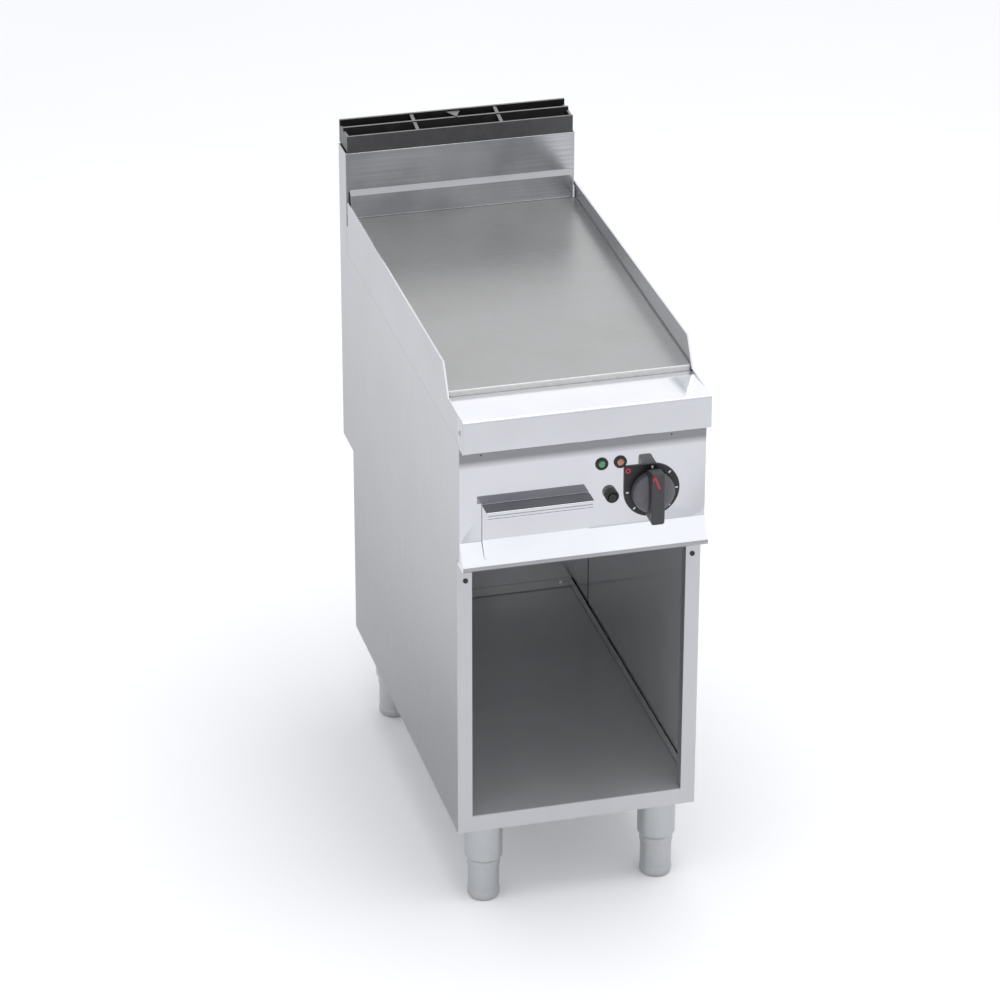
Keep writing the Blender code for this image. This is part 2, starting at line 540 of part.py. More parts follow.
def build_controls():
    """Dial plate, knob with its shaft and thermostat, two pilot lamps and the safety reset button."""
    skin = at(PANEL_DEPTH) - GAP
    plate_front = skin - 0.0025
    dial = turned([(0, 0), (DIAL_RADIUS, 0), (DIAL_RADIUS, 0.0020), (DIAL_RADIUS - 0.0008, 0.0025), (0, 0.0025)],
                  (KNOB_X, skin, KNOB_Z), "-Y", 48)
    corner = block((KNOB_X - DIAL_RADIUS, plate_front, KNOB_Z), (KNOB_X, skin, KNOB_Z + DIAL_RADIUS))
    plate = joined("dial_plate", [dial, corner], "black_plastic")
    cut(plate, turned([(0, -0.01), (0.0062, -0.01), (0.0062, 0.02), (0, 0.02)], (KNOB_X, skin, KNOB_Z), "-Y", 20))

    base = plate_front - 0.0008
    axis_point = (KNOB_X, base, KNOB_Z)
    dome = [(0, 0), (KNOB_DOME_RADIUS, 0), (KNOB_DOME_RADIUS, 0.011), (KNOB_DOME_RADIUS - 0.003, 0.0165),
            (KNOB_DOME_RADIUS - 0.009, 0.0200), (0, 0.0215)]
    reach = KNOB_BAR_OUT - (PANEL_DEPTH - (base - WORKTOP_FRONT))
    bar_outline = [(KNOB_Z - KNOB_BAR_REACH + 0.006, base - 0.008), (KNOB_Z + KNOB_BAR_REACH - 0.006, base - 0.008),
                   (KNOB_Z + KNOB_BAR_REACH, base - reach + 0.004),
                   (KNOB_Z + KNOB_BAR_REACH - 0.003, base - reach),
                   (KNOB_Z - KNOB_BAR_REACH + 0.003, base - reach),
                   (KNOB_Z - KNOB_BAR_REACH, base - reach + 0.004)]
    bar = prism([(y, z) for z, y in bar_outline], KNOB_X - KNOB_BAR_HALF, KNOB_X + KNOB_BAR_HALF, "X")
    knob = joined("knob", [turned(dome, axis_point, "-Y", 48), bar], "black_plastic")
    cut(knob, turned([(0, -0.02), (0.0034, -0.02), (0.0034, 0.014), (0, 0.014)], axis_point, "-Y", 16))
    cut(knob, slanted_mark(0.0016, base - reach - 0.002, base - reach + 0.0008))
    add_piece("knob_mark", slanted_mark(0.0013, base - reach, base - reach + 0.0005), "red_inlay")
    shaft_back = at(0.060)
    shaft_length = shaft_back - (base - 0.0137)
    add_piece("thermostat_shaft", turned([(0, 0), (0.003, 0), (0.003, shaft_length), (0, shaft_length)],
                                         (KNOB_X, shaft_back, KNOB_Z), "-Y", 16), "zinc", smooth=True)
    body = add_piece("thermostat_body", block((KNOB_X - 0.026, at(0.034), KNOB_Z - 0.024),
                                              (KNOB_X + 0.026, at(0.082), KNOB_Z + 0.024)), "grey_plastic")
    cut(body, turned([(0, 0), (0.0034, 0), (0.0034, 0.06), (0, 0.06)], (KNOB_X, at(0.0603), KNOB_Z), "-Y", 16))

    for colour, x in PILOT_XS.items():
        bezel = [(0.0062, 0), (0.0104, 0), (0.0104, 0.0016), (0.0092, 0.0030), (0.0062, 0.0030)]
        add_piece(f"{colour}_lamp_bezel", turned(bezel, (x, skin, PILOT_Z), "-Y", 28), "black_plastic", smooth=True)
        lens = [(0, 0), (0.0058, 0), (0.0058, 0.0018), (0.0040, 0.0034), (0, 0.0040)]
        add_piece(f"{colour}_lamp_lens", turned(lens, (x, skin, PILOT_Z), "-Y", 24), f"{colour}_lens", smooth=True)
        lamp = [(0, 0), (0.0078, 0), (0.0078, 0.034), (0, 0.034)]
        add_piece(f"{colour}_lamp_body", turned(lamp, (x, at(0.0592), PILOT_Z), "-Y", 20), "grey_plastic",
                  smooth=True)

    collar = [(0.0072, 0), (0.0108, 0), (0.0108, RESET_COLLAR - 0.001), (0.0098, RESET_COLLAR),
              (0.0072, RESET_COLLAR)]
    add_piece("reset_collar", turned(collar, (RESET_X, skin, RESET_Z), "-Y", 28), "black_plastic", smooth=True)
    button_back = 0.0365
    length = button_back - PANEL_DEPTH + RESET_COLLAR + 0.0024
    button = [(0, 0), (0.0068, 0), (0.0068, length - 0.0015), (0.0055, length), (0, length)]
    reset = add_piece("reset_button", turned(button, (RESET_X, at(button_back), RESET_Z), "-Y", 24),
                      "black_plastic", smooth=True)
    on_axis(reset, (RESET_X, at(PANEL_DEPTH), RESET_Z))
    cutout = add_piece("safety_thermostat", block((RESET_X - 0.018, at(0.030), RESET_Z - 0.022),
                                                  (RESET_X + 0.018, at(0.070), RESET_Z + 0.022)), "grey_plastic")
    cut(cutout, turned([(0, 0), (0.0073, 0), (0.0073, 0.03), (0, 0.03)], (RESET_X, at(0.042), RESET_Z), "-Y", 20))
    for piece in (knob, bpy.data.objects["knob_mark"], bpy.data.objects["thermostat_shaft"]):
        on_axis(piece, axis_point)


def build_electrics():
    """Contactor and terminal block on the cavity ceiling, and the gland where the mains cable enters."""
    base = 0.641 + GAP
    add_piece("contactor", block((0.110, at(0.300), base), (0.165, at(0.385), base + 0.080)), "grey_plastic")
    block_piece = add_piece("terminal_block", block((0.060, at(0.680), base), (0.160, at(0.715), base + 0.036)),
                            "grey_plastic")
    for number in range(5):
        x = 0.070 + 0.020 * number
        cut(block_piece, block((x - 0.004, at(0.675), base + 0.012), (x + 0.004, at(0.690), base + 0.024)))
    gland = [(0, 0), (0.0120, 0), (0.0120, 0.006), (0.0150, 0.006), (0.0150, 0.013), (0.0110, 0.018),
             (0.0080, 0.018), (0.0080, 0.004), (0, 0.004)]
    backwards = [(radius, -height) for radius, height in gland]
    add_piece("cable_gland", turned(backwards, (0.130, at(0.7750), 0.230), "-Y", 24), "grey_plastic", smooth=True)


def build_screws():
    """Visible screws: one at each end of the apron and one near the top of each post."""
    head = [(0, 0), (0.0042, 0), (0.0040, 0.0012), (0.0026, 0.0022), (0, 0.0024)]
    for side, label in ((-1, "left"), (1, "right")):
        x = side * (HALF_WIDTH - 0.0135)
        add_piece(f"{label}_post_screw", turned(head, (x, at(FRAME_DEPTH) - GAP, 0.6065), "-Y", 16), "zinc",
                  smooth=True)


def build():
    """Build every piece in assembly order."""
    clear_scene()
    build_side_panels()
    build_front_frame()
    build_inner_cabinet()
    build_feet()
    build_worktop()
    build_flue()
    build_griddle()
    build_grease_path()
    build_control_panel()
    build_drawer()
    build_controls()
    build_electrics()
    build_screws()


build()
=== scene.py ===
"""Looks of a free-standing flat top griddle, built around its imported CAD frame.

Every piece lies in the row frame: metres, +Z up, the cook at -Y, the origin on the floor under the middle.
Sheet metal keeps its CAD shape with softened edges; turned, moulded and pressed pieces are surfaces worked
out here. Depths are counted from the worktop's front edge, heights from the floor.
"""
import logging
import math
from dataclasses import dataclass, replace
from enum import Enum
from typing import Any

import bmesh
import bpy
import numpy as np
from mathutils import Matrix, Vector


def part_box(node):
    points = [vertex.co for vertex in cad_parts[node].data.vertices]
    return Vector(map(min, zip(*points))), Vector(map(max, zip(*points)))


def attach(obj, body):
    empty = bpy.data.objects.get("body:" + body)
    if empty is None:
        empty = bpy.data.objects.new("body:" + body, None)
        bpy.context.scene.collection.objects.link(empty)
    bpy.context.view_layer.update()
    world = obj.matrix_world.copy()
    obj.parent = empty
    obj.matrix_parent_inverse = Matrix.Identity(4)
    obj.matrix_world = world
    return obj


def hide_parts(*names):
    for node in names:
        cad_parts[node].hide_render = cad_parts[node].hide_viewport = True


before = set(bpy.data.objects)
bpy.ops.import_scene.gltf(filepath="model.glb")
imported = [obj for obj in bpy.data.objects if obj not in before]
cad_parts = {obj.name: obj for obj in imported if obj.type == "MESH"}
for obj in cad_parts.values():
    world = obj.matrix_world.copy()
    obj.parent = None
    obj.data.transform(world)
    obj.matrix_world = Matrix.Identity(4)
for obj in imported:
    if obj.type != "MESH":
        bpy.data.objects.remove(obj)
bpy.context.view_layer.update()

log = logging.getLogger("griddle")
Array = np.ndarray
Piece = bpy.types.Object
Tree = bpy.types.NodeTree
Node = bpy.types.Node
Socket = bpy.types.NodeSocket
MM = 0.001
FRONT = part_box("worktop_front")[0].y
SIDES = (("left", -1.0), ("right", 1.0))


def at(depth: float) -> float:
    """Y, in metres, of a point this many millimetres behind the worktop's front edge."""
    return FRONT + depth * MM


# --- materials --------------------------------------------------------------------------------------
def linear(code: str) -> tuple[float, float, float, float]:
    """Turn an sRGB hex colour into linear light.

    Args:
        code: colour such as "#c8c9cb".

    Returns:
        Linear red, green and blue, and an alpha of 1.
    """
    raw = np.array([int(code[i:i + 2], 16) for i in (1, 3, 5)]) / 255.0
    light = np.where(raw <= 0.04045, raw / 12.92, ((raw + 0.055) / 1.055) ** 2.4)
    return (*light.tolist(), 1.0)


def add(tree: Tree, kind: str, links: dict[str | int, Any] | None = None, **settings: Any) -> Node:
    """Add one node with its settings and its inputs.

    Args:
        tree: node tree that gets the node.
        kind: Blender's name of the node type.
        links: input name or number, with a socket to join or a value to set.
        **settings: the node's own properties.

    Returns:
        The new node.
    """
    node = tree.nodes.new(kind)
    for name, value in settings.items():
        setattr(node, name, value)
    for name, value in (links or {}).items():
        if isinstance(value, Socket):
            tree.links.new(value, node.inputs[name])
        else:
            node.inputs[name].default_value = value
    return node


class Grain(Enum):
    """Which way the rolling or brushing lines of a sheet run."""

    ALONG_X = (1, 0, 0)
    ALONG_Y = (0, 1, 0)
    ALONG_Z = (0, 0, 1)


@dataclass(frozen=True)
class Finish:
    """A surface finish that paints one Principled material.

    Attributes:
        name: the finish's common name.
        colour: sRGB hex of the surface.
        roughness: middle value of the roughness.
    """

    name: str
    colour: str
    roughness: float

    def material(self) -> bpy.types.Material:
        """Make the material, or return the one made before."""
        found = bpy.data.materials.get(self.name)
        if found:
            return found
        made = bpy.data.materials.new(self.name)
        made.use_nodes = True
        tree = made.node_tree
        shader = tree.nodes["Principled BSDF"]
        shader.inputs["Base Color"].default_value = linear(self.colour)
        shader.inputs["Roughness"].default_value = self.roughness
        place = add(tree, "ShaderNodeTexCoord").outputs["Object"]
        self.paint(tree, shader, place)
        made.diffuse_color = linear(self.colour)
        return made

    def paint(self, tree: Tree, shader: Node, place: Socket) -> None:
        """Add the finish's own pattern."""
        raise NotImplementedError


@dataclass(frozen=True)
class StainlessSheet(Finish):
    """Cold-rolled 18/10 stainless sheet. Fine rolling lines blur its reflections along one way, and the
    sheet is never quite flat, so long reflections bend a little.

    Attributes:
        grain: direction of the rolling lines.
        smudge: sRGB hex of the faint cloudy patches that wiping leaves.
        line_mm: distance between lines, drawn coarser than the real 0.1 mm so that it shows.
        stretch: how many times longer than wide a line is.
        line_depth_mm: depth of the lines.
        wave_mm: height of the slow waves in the sheet.
        uneven: how far the roughness strays to each side.
        metallic: below 1 where film, dust and fine scratches scatter part of the light.
        streak: share of the smudge colour that follows the lines.
        fade: heights, in metres, between which the sheet changes to fade_colour, a painted shade.
        fade_colour: sRGB hex of the painted shade at the second height.
    """

    grain: Grain = Grain.ALONG_X
    smudge: str = "#b9babb"
    line_mm: float = 0.9
    stretch: float = 160.0
    line_depth_mm: float = 0.0010
    wave_mm: float = 0.10
    uneven: float = 0.03
    metallic: float = 1.0
    streak: float = 0.0
    fade: tuple[float, float] | None = None
    fade_colour: str = "#9a9b9d"

    def paint(self, tree: Tree, shader: Node, place: Socket) -> None:
        """Lines in bump and roughness, waves of about 220 mm in bump, patches of about 110 mm in colour."""
        shader.inputs["Metallic"].default_value = self.metallic
        across, along = 1000.0 / self.line_mm, 1000.0 / (self.line_mm * self.stretch)
        scale = tuple(along if on else across for on in self.grain.value)
        lines = add(tree, "ShaderNodeMapping", {"Vector": place, "Scale": scale}).outputs["Vector"]
        lines = add(tree, "ShaderNodeTexNoise", {"Vector": lines, "Scale": 1.0, "Detail": 2.0})
        cloud = add(tree, "ShaderNodeTexNoise", {"Vector": place, "Scale": 9.0, "Detail": 3.0})
        wave = add(tree, "ShaderNodeTexNoise", {"Vector": place, "Scale": 4.5, "Detail": 1.0})
        rough = add(tree, "ShaderNodeMapRange", {
            0: lines.outputs[0], "From Min": 0.3, "From Max": 0.7,
            "To Min": self.roughness - self.uneven, "To Max": self.roughness + self.uneven})
        tint = add(tree, "ShaderNodeMapRange", {0: cloud.outputs[0], "From Min": 0.4, "From Max": 0.75})
        paint = add(tree, "ShaderNodeMix", {0: tint.outputs[0], 6: linear(self.colour),
                                            7: linear(self.smudge)}, data_type="RGBA")
        if self.streak:
            share = add(tree, "ShaderNodeMapRange", {0: lines.outputs[0], "From Min": 0.35, "From Max": 0.65,
                                                     "To Max": self.streak})
            paint = add(tree, "ShaderNodeMix", {0: share.outputs[0], 6: paint.outputs[2],
                                                7: linear(self.smudge)}, data_type="RGBA")
        # Painted shade: between the two heights the colour turns to fade_colour.
        if self.fade:
            height = add(tree, "ShaderNodeSeparateXYZ", {0: place}).outputs["Z"]
            share = add(tree, "ShaderNodeMapRange", {0: height, "From Min": self.fade[0],
                                                     "From Max": self.fade[1]})
            paint = add(tree, "ShaderNodeMix", {0: share.outputs[0], 6: paint.outputs[2],
                                                7: linear(self.fade_colour)}, data_type="RGBA")
        slow = add(tree, "ShaderNodeBump", {"Height": wave.outputs[0], "Strength": 1.0,
                                            "Distance": self.wave_mm * MM})
        fine = add(tree, "ShaderNodeBump", {"Height": lines.outputs[0], "Strength": 1.0,
                                            "Distance": self.line_depth_mm * MM,
                                            "Normal": slow.outputs[0]})
        tree.links.new(paint.outputs[2], shader.inputs["Base Color"])
        tree.links.new(rough.outputs[0], shader.inputs["Roughness"])
        tree.links.new(fine.outputs[0], shader.inputs["Normal"])


@dataclass(frozen=True)
class GroundPlate(Finish):
    """Cooking plate of ground steel: an even grey that hardly mirrors, with faint grinding lines from side to
    side and slightly darker patches over the heating elements.

    Attributes:
        warm: sRGB hex of the patches tinted by heat.
        metallic: below 1, because seasoning scatters part of the light.
        lines: grinding lines in a metre, coarser than real ones so that they show.
        stretch: how many times longer than wide a line is.
    """

    warm: str = "#a8a7a4"
    metallic: float = 0.88
    lines: float = 900.0
    stretch: float = 100.0

    def paint(self, tree: Tree, shader: Node, place: Socket) -> None:
        """Grinding lines about 1.1 mm apart, heat tint in patches of about 120 mm."""
        shader.inputs["Metallic"].default_value = self.metallic
        scale = (self.lines / self.stretch, self.lines, self.lines)
        lines = add(tree, "ShaderNodeMapping", {"Vector": place, "Scale": scale})
        lines = add(tree, "ShaderNodeTexNoise", {"Vector": lines.outputs[0], "Scale": 1.0, "Detail": 3.0})
        patch = add(tree, "ShaderNodeTexNoise", {"Vector": place, "Scale": 8.0, "Detail": 4.0,
                                                 "Roughness": 0.6})
        tint = add(tree, "ShaderNodeMapRange", {0: patch.outputs[0], "From Min": 0.45, "From Max": 0.8,
                                                "To Max": 0.6})
        paint = add(tree, "ShaderNodeMix", {0: tint.outputs[0], 6: linear(self.colour), 7: linear(self.warm)},
                    data_type="RGBA")
        rough = add(tree, "ShaderNodeMapRange", {0: lines.outputs[0], "To Min": self.roughness - 0.08,
                                                 "To Max": self.roughness + 0.08})
        bump = add(tree, "ShaderNodeBump", {"Height": lines.outputs[0], "Strength": 1.0,
                                            "Distance": 0.006 * MM})
        tree.links.new(paint.outputs[2], shader.inputs["Base Color"])
        tree.links.new(rough.outputs[0], shader.inputs["Roughness"])
        tree.links.new(bump.outputs[0], shader.inputs["Normal"])


@dataclass(frozen=True)
class CoarseSkin(Finish):
    """A skin with an even small relief, such as cast iron under enamel, moulded plastic or fibre board.

    Attributes:
        second: sRGB hex of the flecks.
        relief_mm: width of one bump of the relief.
        depth_mm: height of the relief.
        metallic: 1 for bare metal.
        coat: strength of a clear glassy coat.
        specular: 0.5 for an ordinary surface, less for the black painted shade in the flue and the bay's
            joints.
    """

    second: str = "#2a2a2b"
    relief_mm: float = 1.2
    depth_mm: float = 0.05
    metallic: float = 0.0
    coat: float = 0.0
    specular: float = 0.5

    def paint(self, tree: Tree, shader: Node, place: Socket) -> None:
        """Relief in bump, flecks ten times as wide in colour and roughness."""
        shader.inputs["Metallic"].default_value = self.metallic
        shader.inputs["Specular IOR Level"].default_value = self.specular
        shader.inputs["Coat Weight"].default_value = self.coat
        shader.inputs["Coat Roughness"].default_value = 0.2
        grit = add(tree, "ShaderNodeTexNoise", {"Vector": place, "Scale": 1000.0 / self.relief_mm,
                                                "Detail": 2.0})
        fleck = add(tree, "ShaderNodeTexNoise", {"Vector": place, "Scale": 100.0 / self.relief_mm,
                                                 "Detail": 3.0})
        share = add(tree, "ShaderNodeMapRange", {0: fleck.outputs[0], "From Min": 0.42, "From Max": 0.72})
        paint = add(tree, "ShaderNodeMix", {0: share.outputs[0], 6: linear(self.colour),
                                            7: linear(self.second)}, data_type="RGBA")
        rough = add(tree, "ShaderNodeMapRange", {0: fleck.outputs[0], "To Min": self.roughness - 0.08,
                                                 "To Max": self.roughness + 0.10})
        bump = add(tree, "ShaderNodeBump", {"Height": grit.outputs[0], "Strength": 0.6,
                                            "Distance": self.depth_mm * MM})
        tree.links.new(paint.outputs[2], shader.inputs["Base Color"])
        tree.links.new(rough.outputs[0], shader.inputs["Roughness"])
        tree.links.new(bump.outputs[0], shader.inputs["Normal"])


@dataclass(frozen=True)
class SpangledZinc(Finish):
    """Hot-dip galvanised sheet: dull grey with crystal patches about 9 mm wide.

    Attributes:
        crystal: sRGB hex of the lighter crystals.
    """

    crystal: str = "#a3a8aa"

    def paint(self, tree: Tree, shader: Node, place: Socket) -> None:
        """Each crystal has its own grey and its own roughness."""
        shader.inputs["Metallic"].default_value = 1.0
        cells = add(tree, "ShaderNodeTexVoronoi", {"Vector": place, "Scale": 110.0})
        grey = add(tree, "ShaderNodeSeparateColor", {0: cells.outputs["Color"]}).outputs[0]
        paint = add(tree, "ShaderNodeMix", {0: grey, 6: linear(self.colour), 7: linear(self.crystal)},
                    data_type="RGBA")
        rough = add(tree, "ShaderNodeMapRange", {0: grey, "To Min": self.roughness - 0.1,
                                                 "To Max": self.roughness + 0.12})
        tree.links.new(paint.outputs[2], shader.inputs["Base Color"])
        tree.links.new(rough.outputs[0], shader.inputs["Roughness"])


@dataclass(frozen=True)
class LampLens(Finish):
    """Moulded polycarbonate lens: coloured through, glossy, with fine prisms inside that break the light up.

    Attributes:
        deep: sRGB hex of the colour where the lens is thickest.
    """

    deep: str = "#2c6b38"

    def paint(self, tree: Tree, shader: Node, place: Socket) -> None:
        """Prisms 1.6 mm wide in bump and colour under a clear glossy skin."""
        shader.inputs["IOR"].default_value = 1.58
        shader.inputs["Coat Weight"].default_value = 0.6
        shader.inputs["Coat Roughness"].default_value = 0.06
        shader.inputs["Subsurface Weight"].default_value = 0.35
        shader.inputs["Subsurface Radius"].default_value = (0.004, 0.004, 0.004)
        cells = add(tree, "ShaderNodeTexVoronoi", {"Vector": place, "Scale": 620.0})
        share = add(tree, "ShaderNodeMapRange", {0: cells.outputs["Distance"], "From Max": 0.7})
        paint = add(tree, "ShaderNodeMix", {0: share.outputs[0], 6: linear(self.colour),
                                            7: linear(self.deep)}, data_type="RGBA")
        bump = add(tree, "ShaderNodeBump", {"Height": cells.outputs["Distance"], "Strength": 0.5,
                                            "Distance": 0.0003})
        tree.links.new(paint.outputs[2], shader.inputs["Base Color"])
        tree.links.new(bump.outputs[0], shader.inputs["Normal"])


# Bright-annealed sheet on the panel and drawer: almost a mirror, faintly cool.
MIRROR_X = StainlessSheet("bright annealed stainless, lines across", "#d2d3d7", 0.05, Grain.ALONG_X,
                          "#cecfd3", line_depth_mm=0.0003, wave_mm=0.03, uneven=0.01, metallic=0.85)
# The same sheet with a painted shade along the panel's top, under the apron.
SHADED_MIRROR = replace(MIRROR_X, name="bright annealed stainless, painted shade under the apron",
                        fade=(0.809, 0.822), fade_colour="#88898d")
# The ledge is painted brighter than the panel, a painted highlight, and mirrors what stands over it.
LEDGE_STEEL = replace(MIRROR_X, name="ledge stainless, painted highlight", colour="#f6f7fa", smudge="#f0f1f4",
                      metallic=0.9)
# The apron's sheet has a softer shine: reflections keep their shape but lose their edges.
APRON_STEEL = StainlessSheet("bright apron stainless", "#cbccd0", 0.12, Grain.ALONG_X,
                             "#c6c7cb", line_depth_mm=0.0004, wave_mm=0.06, uneven=0.02, metallic=0.8)
# Faces that look up are painted brightest: a painted highlight.
LIT_TOP_STEEL = replace(APRON_STEEL, name="stainless, painted highlight on top faces", colour="#f6f7fa", roughness=0.14,
                      smudge="#f0f1f4", metallic=0.9)
# The top of the drawer's pull is painted dark grey: a painted shade.
SHADED_PULL_STEEL = StainlessSheet("stainless, painted shade on the pull's top", "#7b7c80", 0.34, Grain.ALONG_X, "#66676b",
                               metallic=0.9, streak=0.5)
# The splash back's faces that look up are painted darker grey, a painted shade, and rough enough to scatter
# the light.
SPLASH_SHADE_STEEL = StainlessSheet("stainless, painted shade on the splash back's top", "#909194", 0.45, Grain.ALONG_X, "#88898c",
                               metallic=0.3)
# The ledge's rolled nose turns away from the light.
NOSE_STEEL = StainlessSheet("rolled nose stainless", "#a6a7aa", 0.30, Grain.ALONG_X, "#9c9da0", metallic=0.8)
# The front frame keeps an even satin, with lines that run down the posts.
FRAME_STEEL = StainlessSheet("satin frame stainless", "#bdbec1", 0.30, Grain.ALONG_Z, "#b9babd", uneven=0.01,
                             line_depth_mm=0.0003, metallic=0.8)
# Satin sheet dulled a little by its protective film, on sides, flue and cabinet.
SATIN_X = StainlessSheet("satin stainless, lines across", "#b9babd", 0.22, Grain.ALONG_X, "#96979a",
                         line_mm=1.6, line_depth_mm=0.0022, metallic=0.9, streak=0.5)
# The side sheet is painted darker towards the floor: a painted shade.
SIDE_STEEL = StainlessSheet("satin side sheet, painted shade towards the floor", "#b7b8bb", 0.30, Grain.ALONG_Z,
                            "#b2b3b6", metallic=0.8, fade=(0.88, 0.30), fade_colour="#858688")
SATIN_Z = StainlessSheet("satin stainless, lines upright", "#bdbec1", 0.30, Grain.ALONG_Z, "#b9babd",
                         metallic=0.8)
SATIN_Y = StainlessSheet("satin stainless, lines front to back", "#c9cacd", 0.24, Grain.ALONG_Y, "#c4c5c8",
                         metallic=0.85)
# Inside the bay the sheet keeps its mill finish, darker and still glossy.
MILL = StainlessSheet("mill finish stainless", "#cfd0d1", 0.14, Grain.ALONG_Y, "#c9cacb", metallic=0.5)
# Tube brushed along its length: a soft bright stripe down each foot.
FOOT_STEEL = StainlessSheet("brushed stainless tube", "#b6b8ba", 0.30, Grain.ALONG_Z, "#b1b3b5", wave_mm=0.0,
                            metallic=0.85)
# Ground and seasoned steel: an even warm grey without reflections.
PLATE = GroundPlate("ground steel cooking plate", "#b2b2b0", 0.30)
# Sand-cast iron under enamel: black and pebbled, with a low shine.
ENAMEL = CoarseSkin("black enamel on cast iron", "#141415", 0.40, "#1b1b1c", 1.6, 0.08, coat=0.2)
# The grille's front wall is painted lighter, painted light where it faces the light; the louvres' faces that
# look up are painted grey, a painted highlight.
LIT_FRONT_ENAMEL = CoarseSkin("black enamel, painted light on the front wall", "#333334", 0.40, "#3b3b3c", 1.6, 0.08, coat=0.3)
LIT_TOP_ENAMEL = CoarseSkin("enamel, painted highlight on top faces", "#706f6e", 0.5, "#7d7c7a", 1.6, 0.05)
# Inside the flue and between the grille's louvres the faces are painted black: painted shade.
FLUE_SHADE = CoarseSkin("painted shade inside the flue", "#181818", 0.7, "#202020", 2.0, 0.05, specular=0.1)
# Moulded plastics: even and satin; the knob's dome is a lighter grey than its grip.
KNOB_PLASTIC = CoarseSkin("satin black thermoset", "#343437", 0.36, "#39393d", 0.6, 0.02)
DOME_PLASTIC = CoarseSkin("lighter black thermoset of the dome", "#545459", 0.40, "#5b5b60", 0.6, 0.02)
TRIM_PLASTIC = CoarseSkin("black moulded plastic", "#161618", 0.42, "#1c1c1e", 0.5, 0.02)
GREY_PLASTIC = CoarseSkin("grey moulded plastic", "#8c8c8a", 0.5, "#959593", 0.7, 0.02)
# Screen prints: flat, dry colour.
WHITE_PRINT = CoarseSkin("white screen print", "#d8d8da", 0.55, "#cfcfd2", 0.4, 0.01)
RED_PRINT = CoarseSkin("red screen print", "#c81e3c", 0.5, "#bb1c38", 0.4, 0.01)
# Hidden pieces: heat-browned tube and pale matted fibre.
SHEATH = CoarseSkin("oxidised element sheath", "#4a4642", 0.5, "#5d564d", 0.8, 0.03, metallic=1.0)
BOARD = CoarseSkin("mineral fibre board", "#d6d0c2", 0.9, "#c7bfae", 2.5, 0.5)
# Joints and edges: black strips of painted shadow in the bay's joints, grey strokes of painted shadow under
# the pull, the plate's front edge painted lighter as a painted highlight; ground weld beads catch the light.
JOINT_SHADOW = CoarseSkin("painted shadow in the bay's joints", "#0c0c0d", 0.7, "#101011", 0.8, 0.02, specular=0.1)
PULL_SHADOW_LINE = CoarseSkin("painted shadow line under the pull", "#9a9b9f", 0.4, "#8f9094", 0.4, 0.01, metallic=0.5)
PLATE_EDGE = CoarseSkin("ground plate edge, painted highlight", "#c9c9c7", 0.42, "#c2c2c0", 0.8, 0.005, metallic=0.4)
PLATE_JOINT = CoarseSkin("ground weld bead", "#9b9b9a", 0.5, "#929291", 0.8, 0.01, metallic=0.2)
# Screw heads: a near-white head that is a painted glint, blackened zinc and plain stainless.
GLINT_SCREW = CoarseSkin("screw head, painted glint", "#f4f4f4", 0.3, "#ececec", 0.5, 0.01, metallic=0.2)
DARK_SCREW = CoarseSkin("blackened screw head", "#39393b", 0.4, "#303032", 0.5, 0.01, metallic=0.3)
SCREW_STEEL = CoarseSkin("stainless screw head", "#a9aaac", 0.28, "#9a9b9d", 0.5, 0.01, metallic=1.0)
# Dip-coated sheet: dull, with crystals that differ in grey.
GALVANISED = SpangledZinc("galvanised sheet", "#8d9295", 0.42)
# Unlit pilot lamps: coloured glow from inside a glossy dome.
GREEN_LENS = LampLens("green polycarbonate lens", "#6bb070", 0.22, deep="#357a43")
AMBER_LENS = LampLens("amber polycarbonate lens", "#d39a80", 0.22, deep="#a2644a")


# --- surfaces ---------------------------------------------------------------------------------------
def mesh_from_grid(name: str, grid: Array, around: bool, caps: bool) -> Piece:
    """Turn a grid of points into a mesh of quads.

    Args:
        name: name of the piece.
        grid: rows x columns x 3 points, in metres.
        around: whether the last column joins the first.
        caps: whether the first and last rows are closed with a face.

    Returns:
        The object, with its normals pointing outwards.
    """
    rows, columns = grid.shape[:2]
    index = np.arange(rows * columns).reshape(rows, columns)
    after = np.roll(index, -1, axis=1)
    width = columns if around else columns - 1
    quads = np.stack([index[:-1, :width], after[:-1, :width], after[1:, :width], index[1:, :width]], -1)
    faces = quads.reshape(-1, 4).tolist()
    if caps:
        faces += [index[0][::-1].tolist(), index[-1].tolist()]
    mesh = bpy.data.meshes.new(name)
    mesh.from_pydata(grid.reshape(-1, 3), [], faces)
    shape = bmesh.new()
    shape.from_mesh(mesh)
    bmesh.ops.remove_doubles(shape, verts=shape.verts, dist=1e-7)
    bmesh.ops.recalc_face_normals(shape, faces=shape.faces)
    shape.to_mesh(mesh)
    shape.free()
    made = bpy.data.objects.new(name, mesh)
    bpy.context.scene.collection.objects.link(made)
    return made


def rounded_path(corners: Array, radius: float, steps: int = 6) -> Array:
    """Round the corners of an open line.

    At each corner the arc starts radius x tan(half the turn) before it and ends as far after it. Points on it
    are the corner's two tangents blended as a quadratic curve, which is close to a circle for gentle bends.

    Args:
        corners: points x 2.
        radius: bend radius, in the corners' unit.
        steps: segments in each arc.

    Returns:
        The rounded line, points x 2.
    """
    before, corner, after = corners[:-2], corners[1:-1], corners[2:]
    back, ahead = before - corner, after - corner
    lengths = np.stack([np.linalg.norm(back, axis=1), np.linalg.norm(ahead, axis=1)])
    back, ahead = back / lengths[0][:, None], ahead / lengths[1][:, None]
    turn = np.pi - np.arccos(np.clip((back * ahead).sum(1), -1, 1))
    reach = np.minimum(radius * np.tan(turn / 2), 0.45 * lengths.min(0))[:, None, None]
    t = np.linspace(0, 1, steps + 1)[None, :, None]
    arcs = corner[:, None] + reach * (back[:, None] * (1 - t) ** 2 + ahead[:, None] * t ** 2)
    return np.concatenate([corners[:1], arcs.reshape(-1, 2), corners[-1:]])


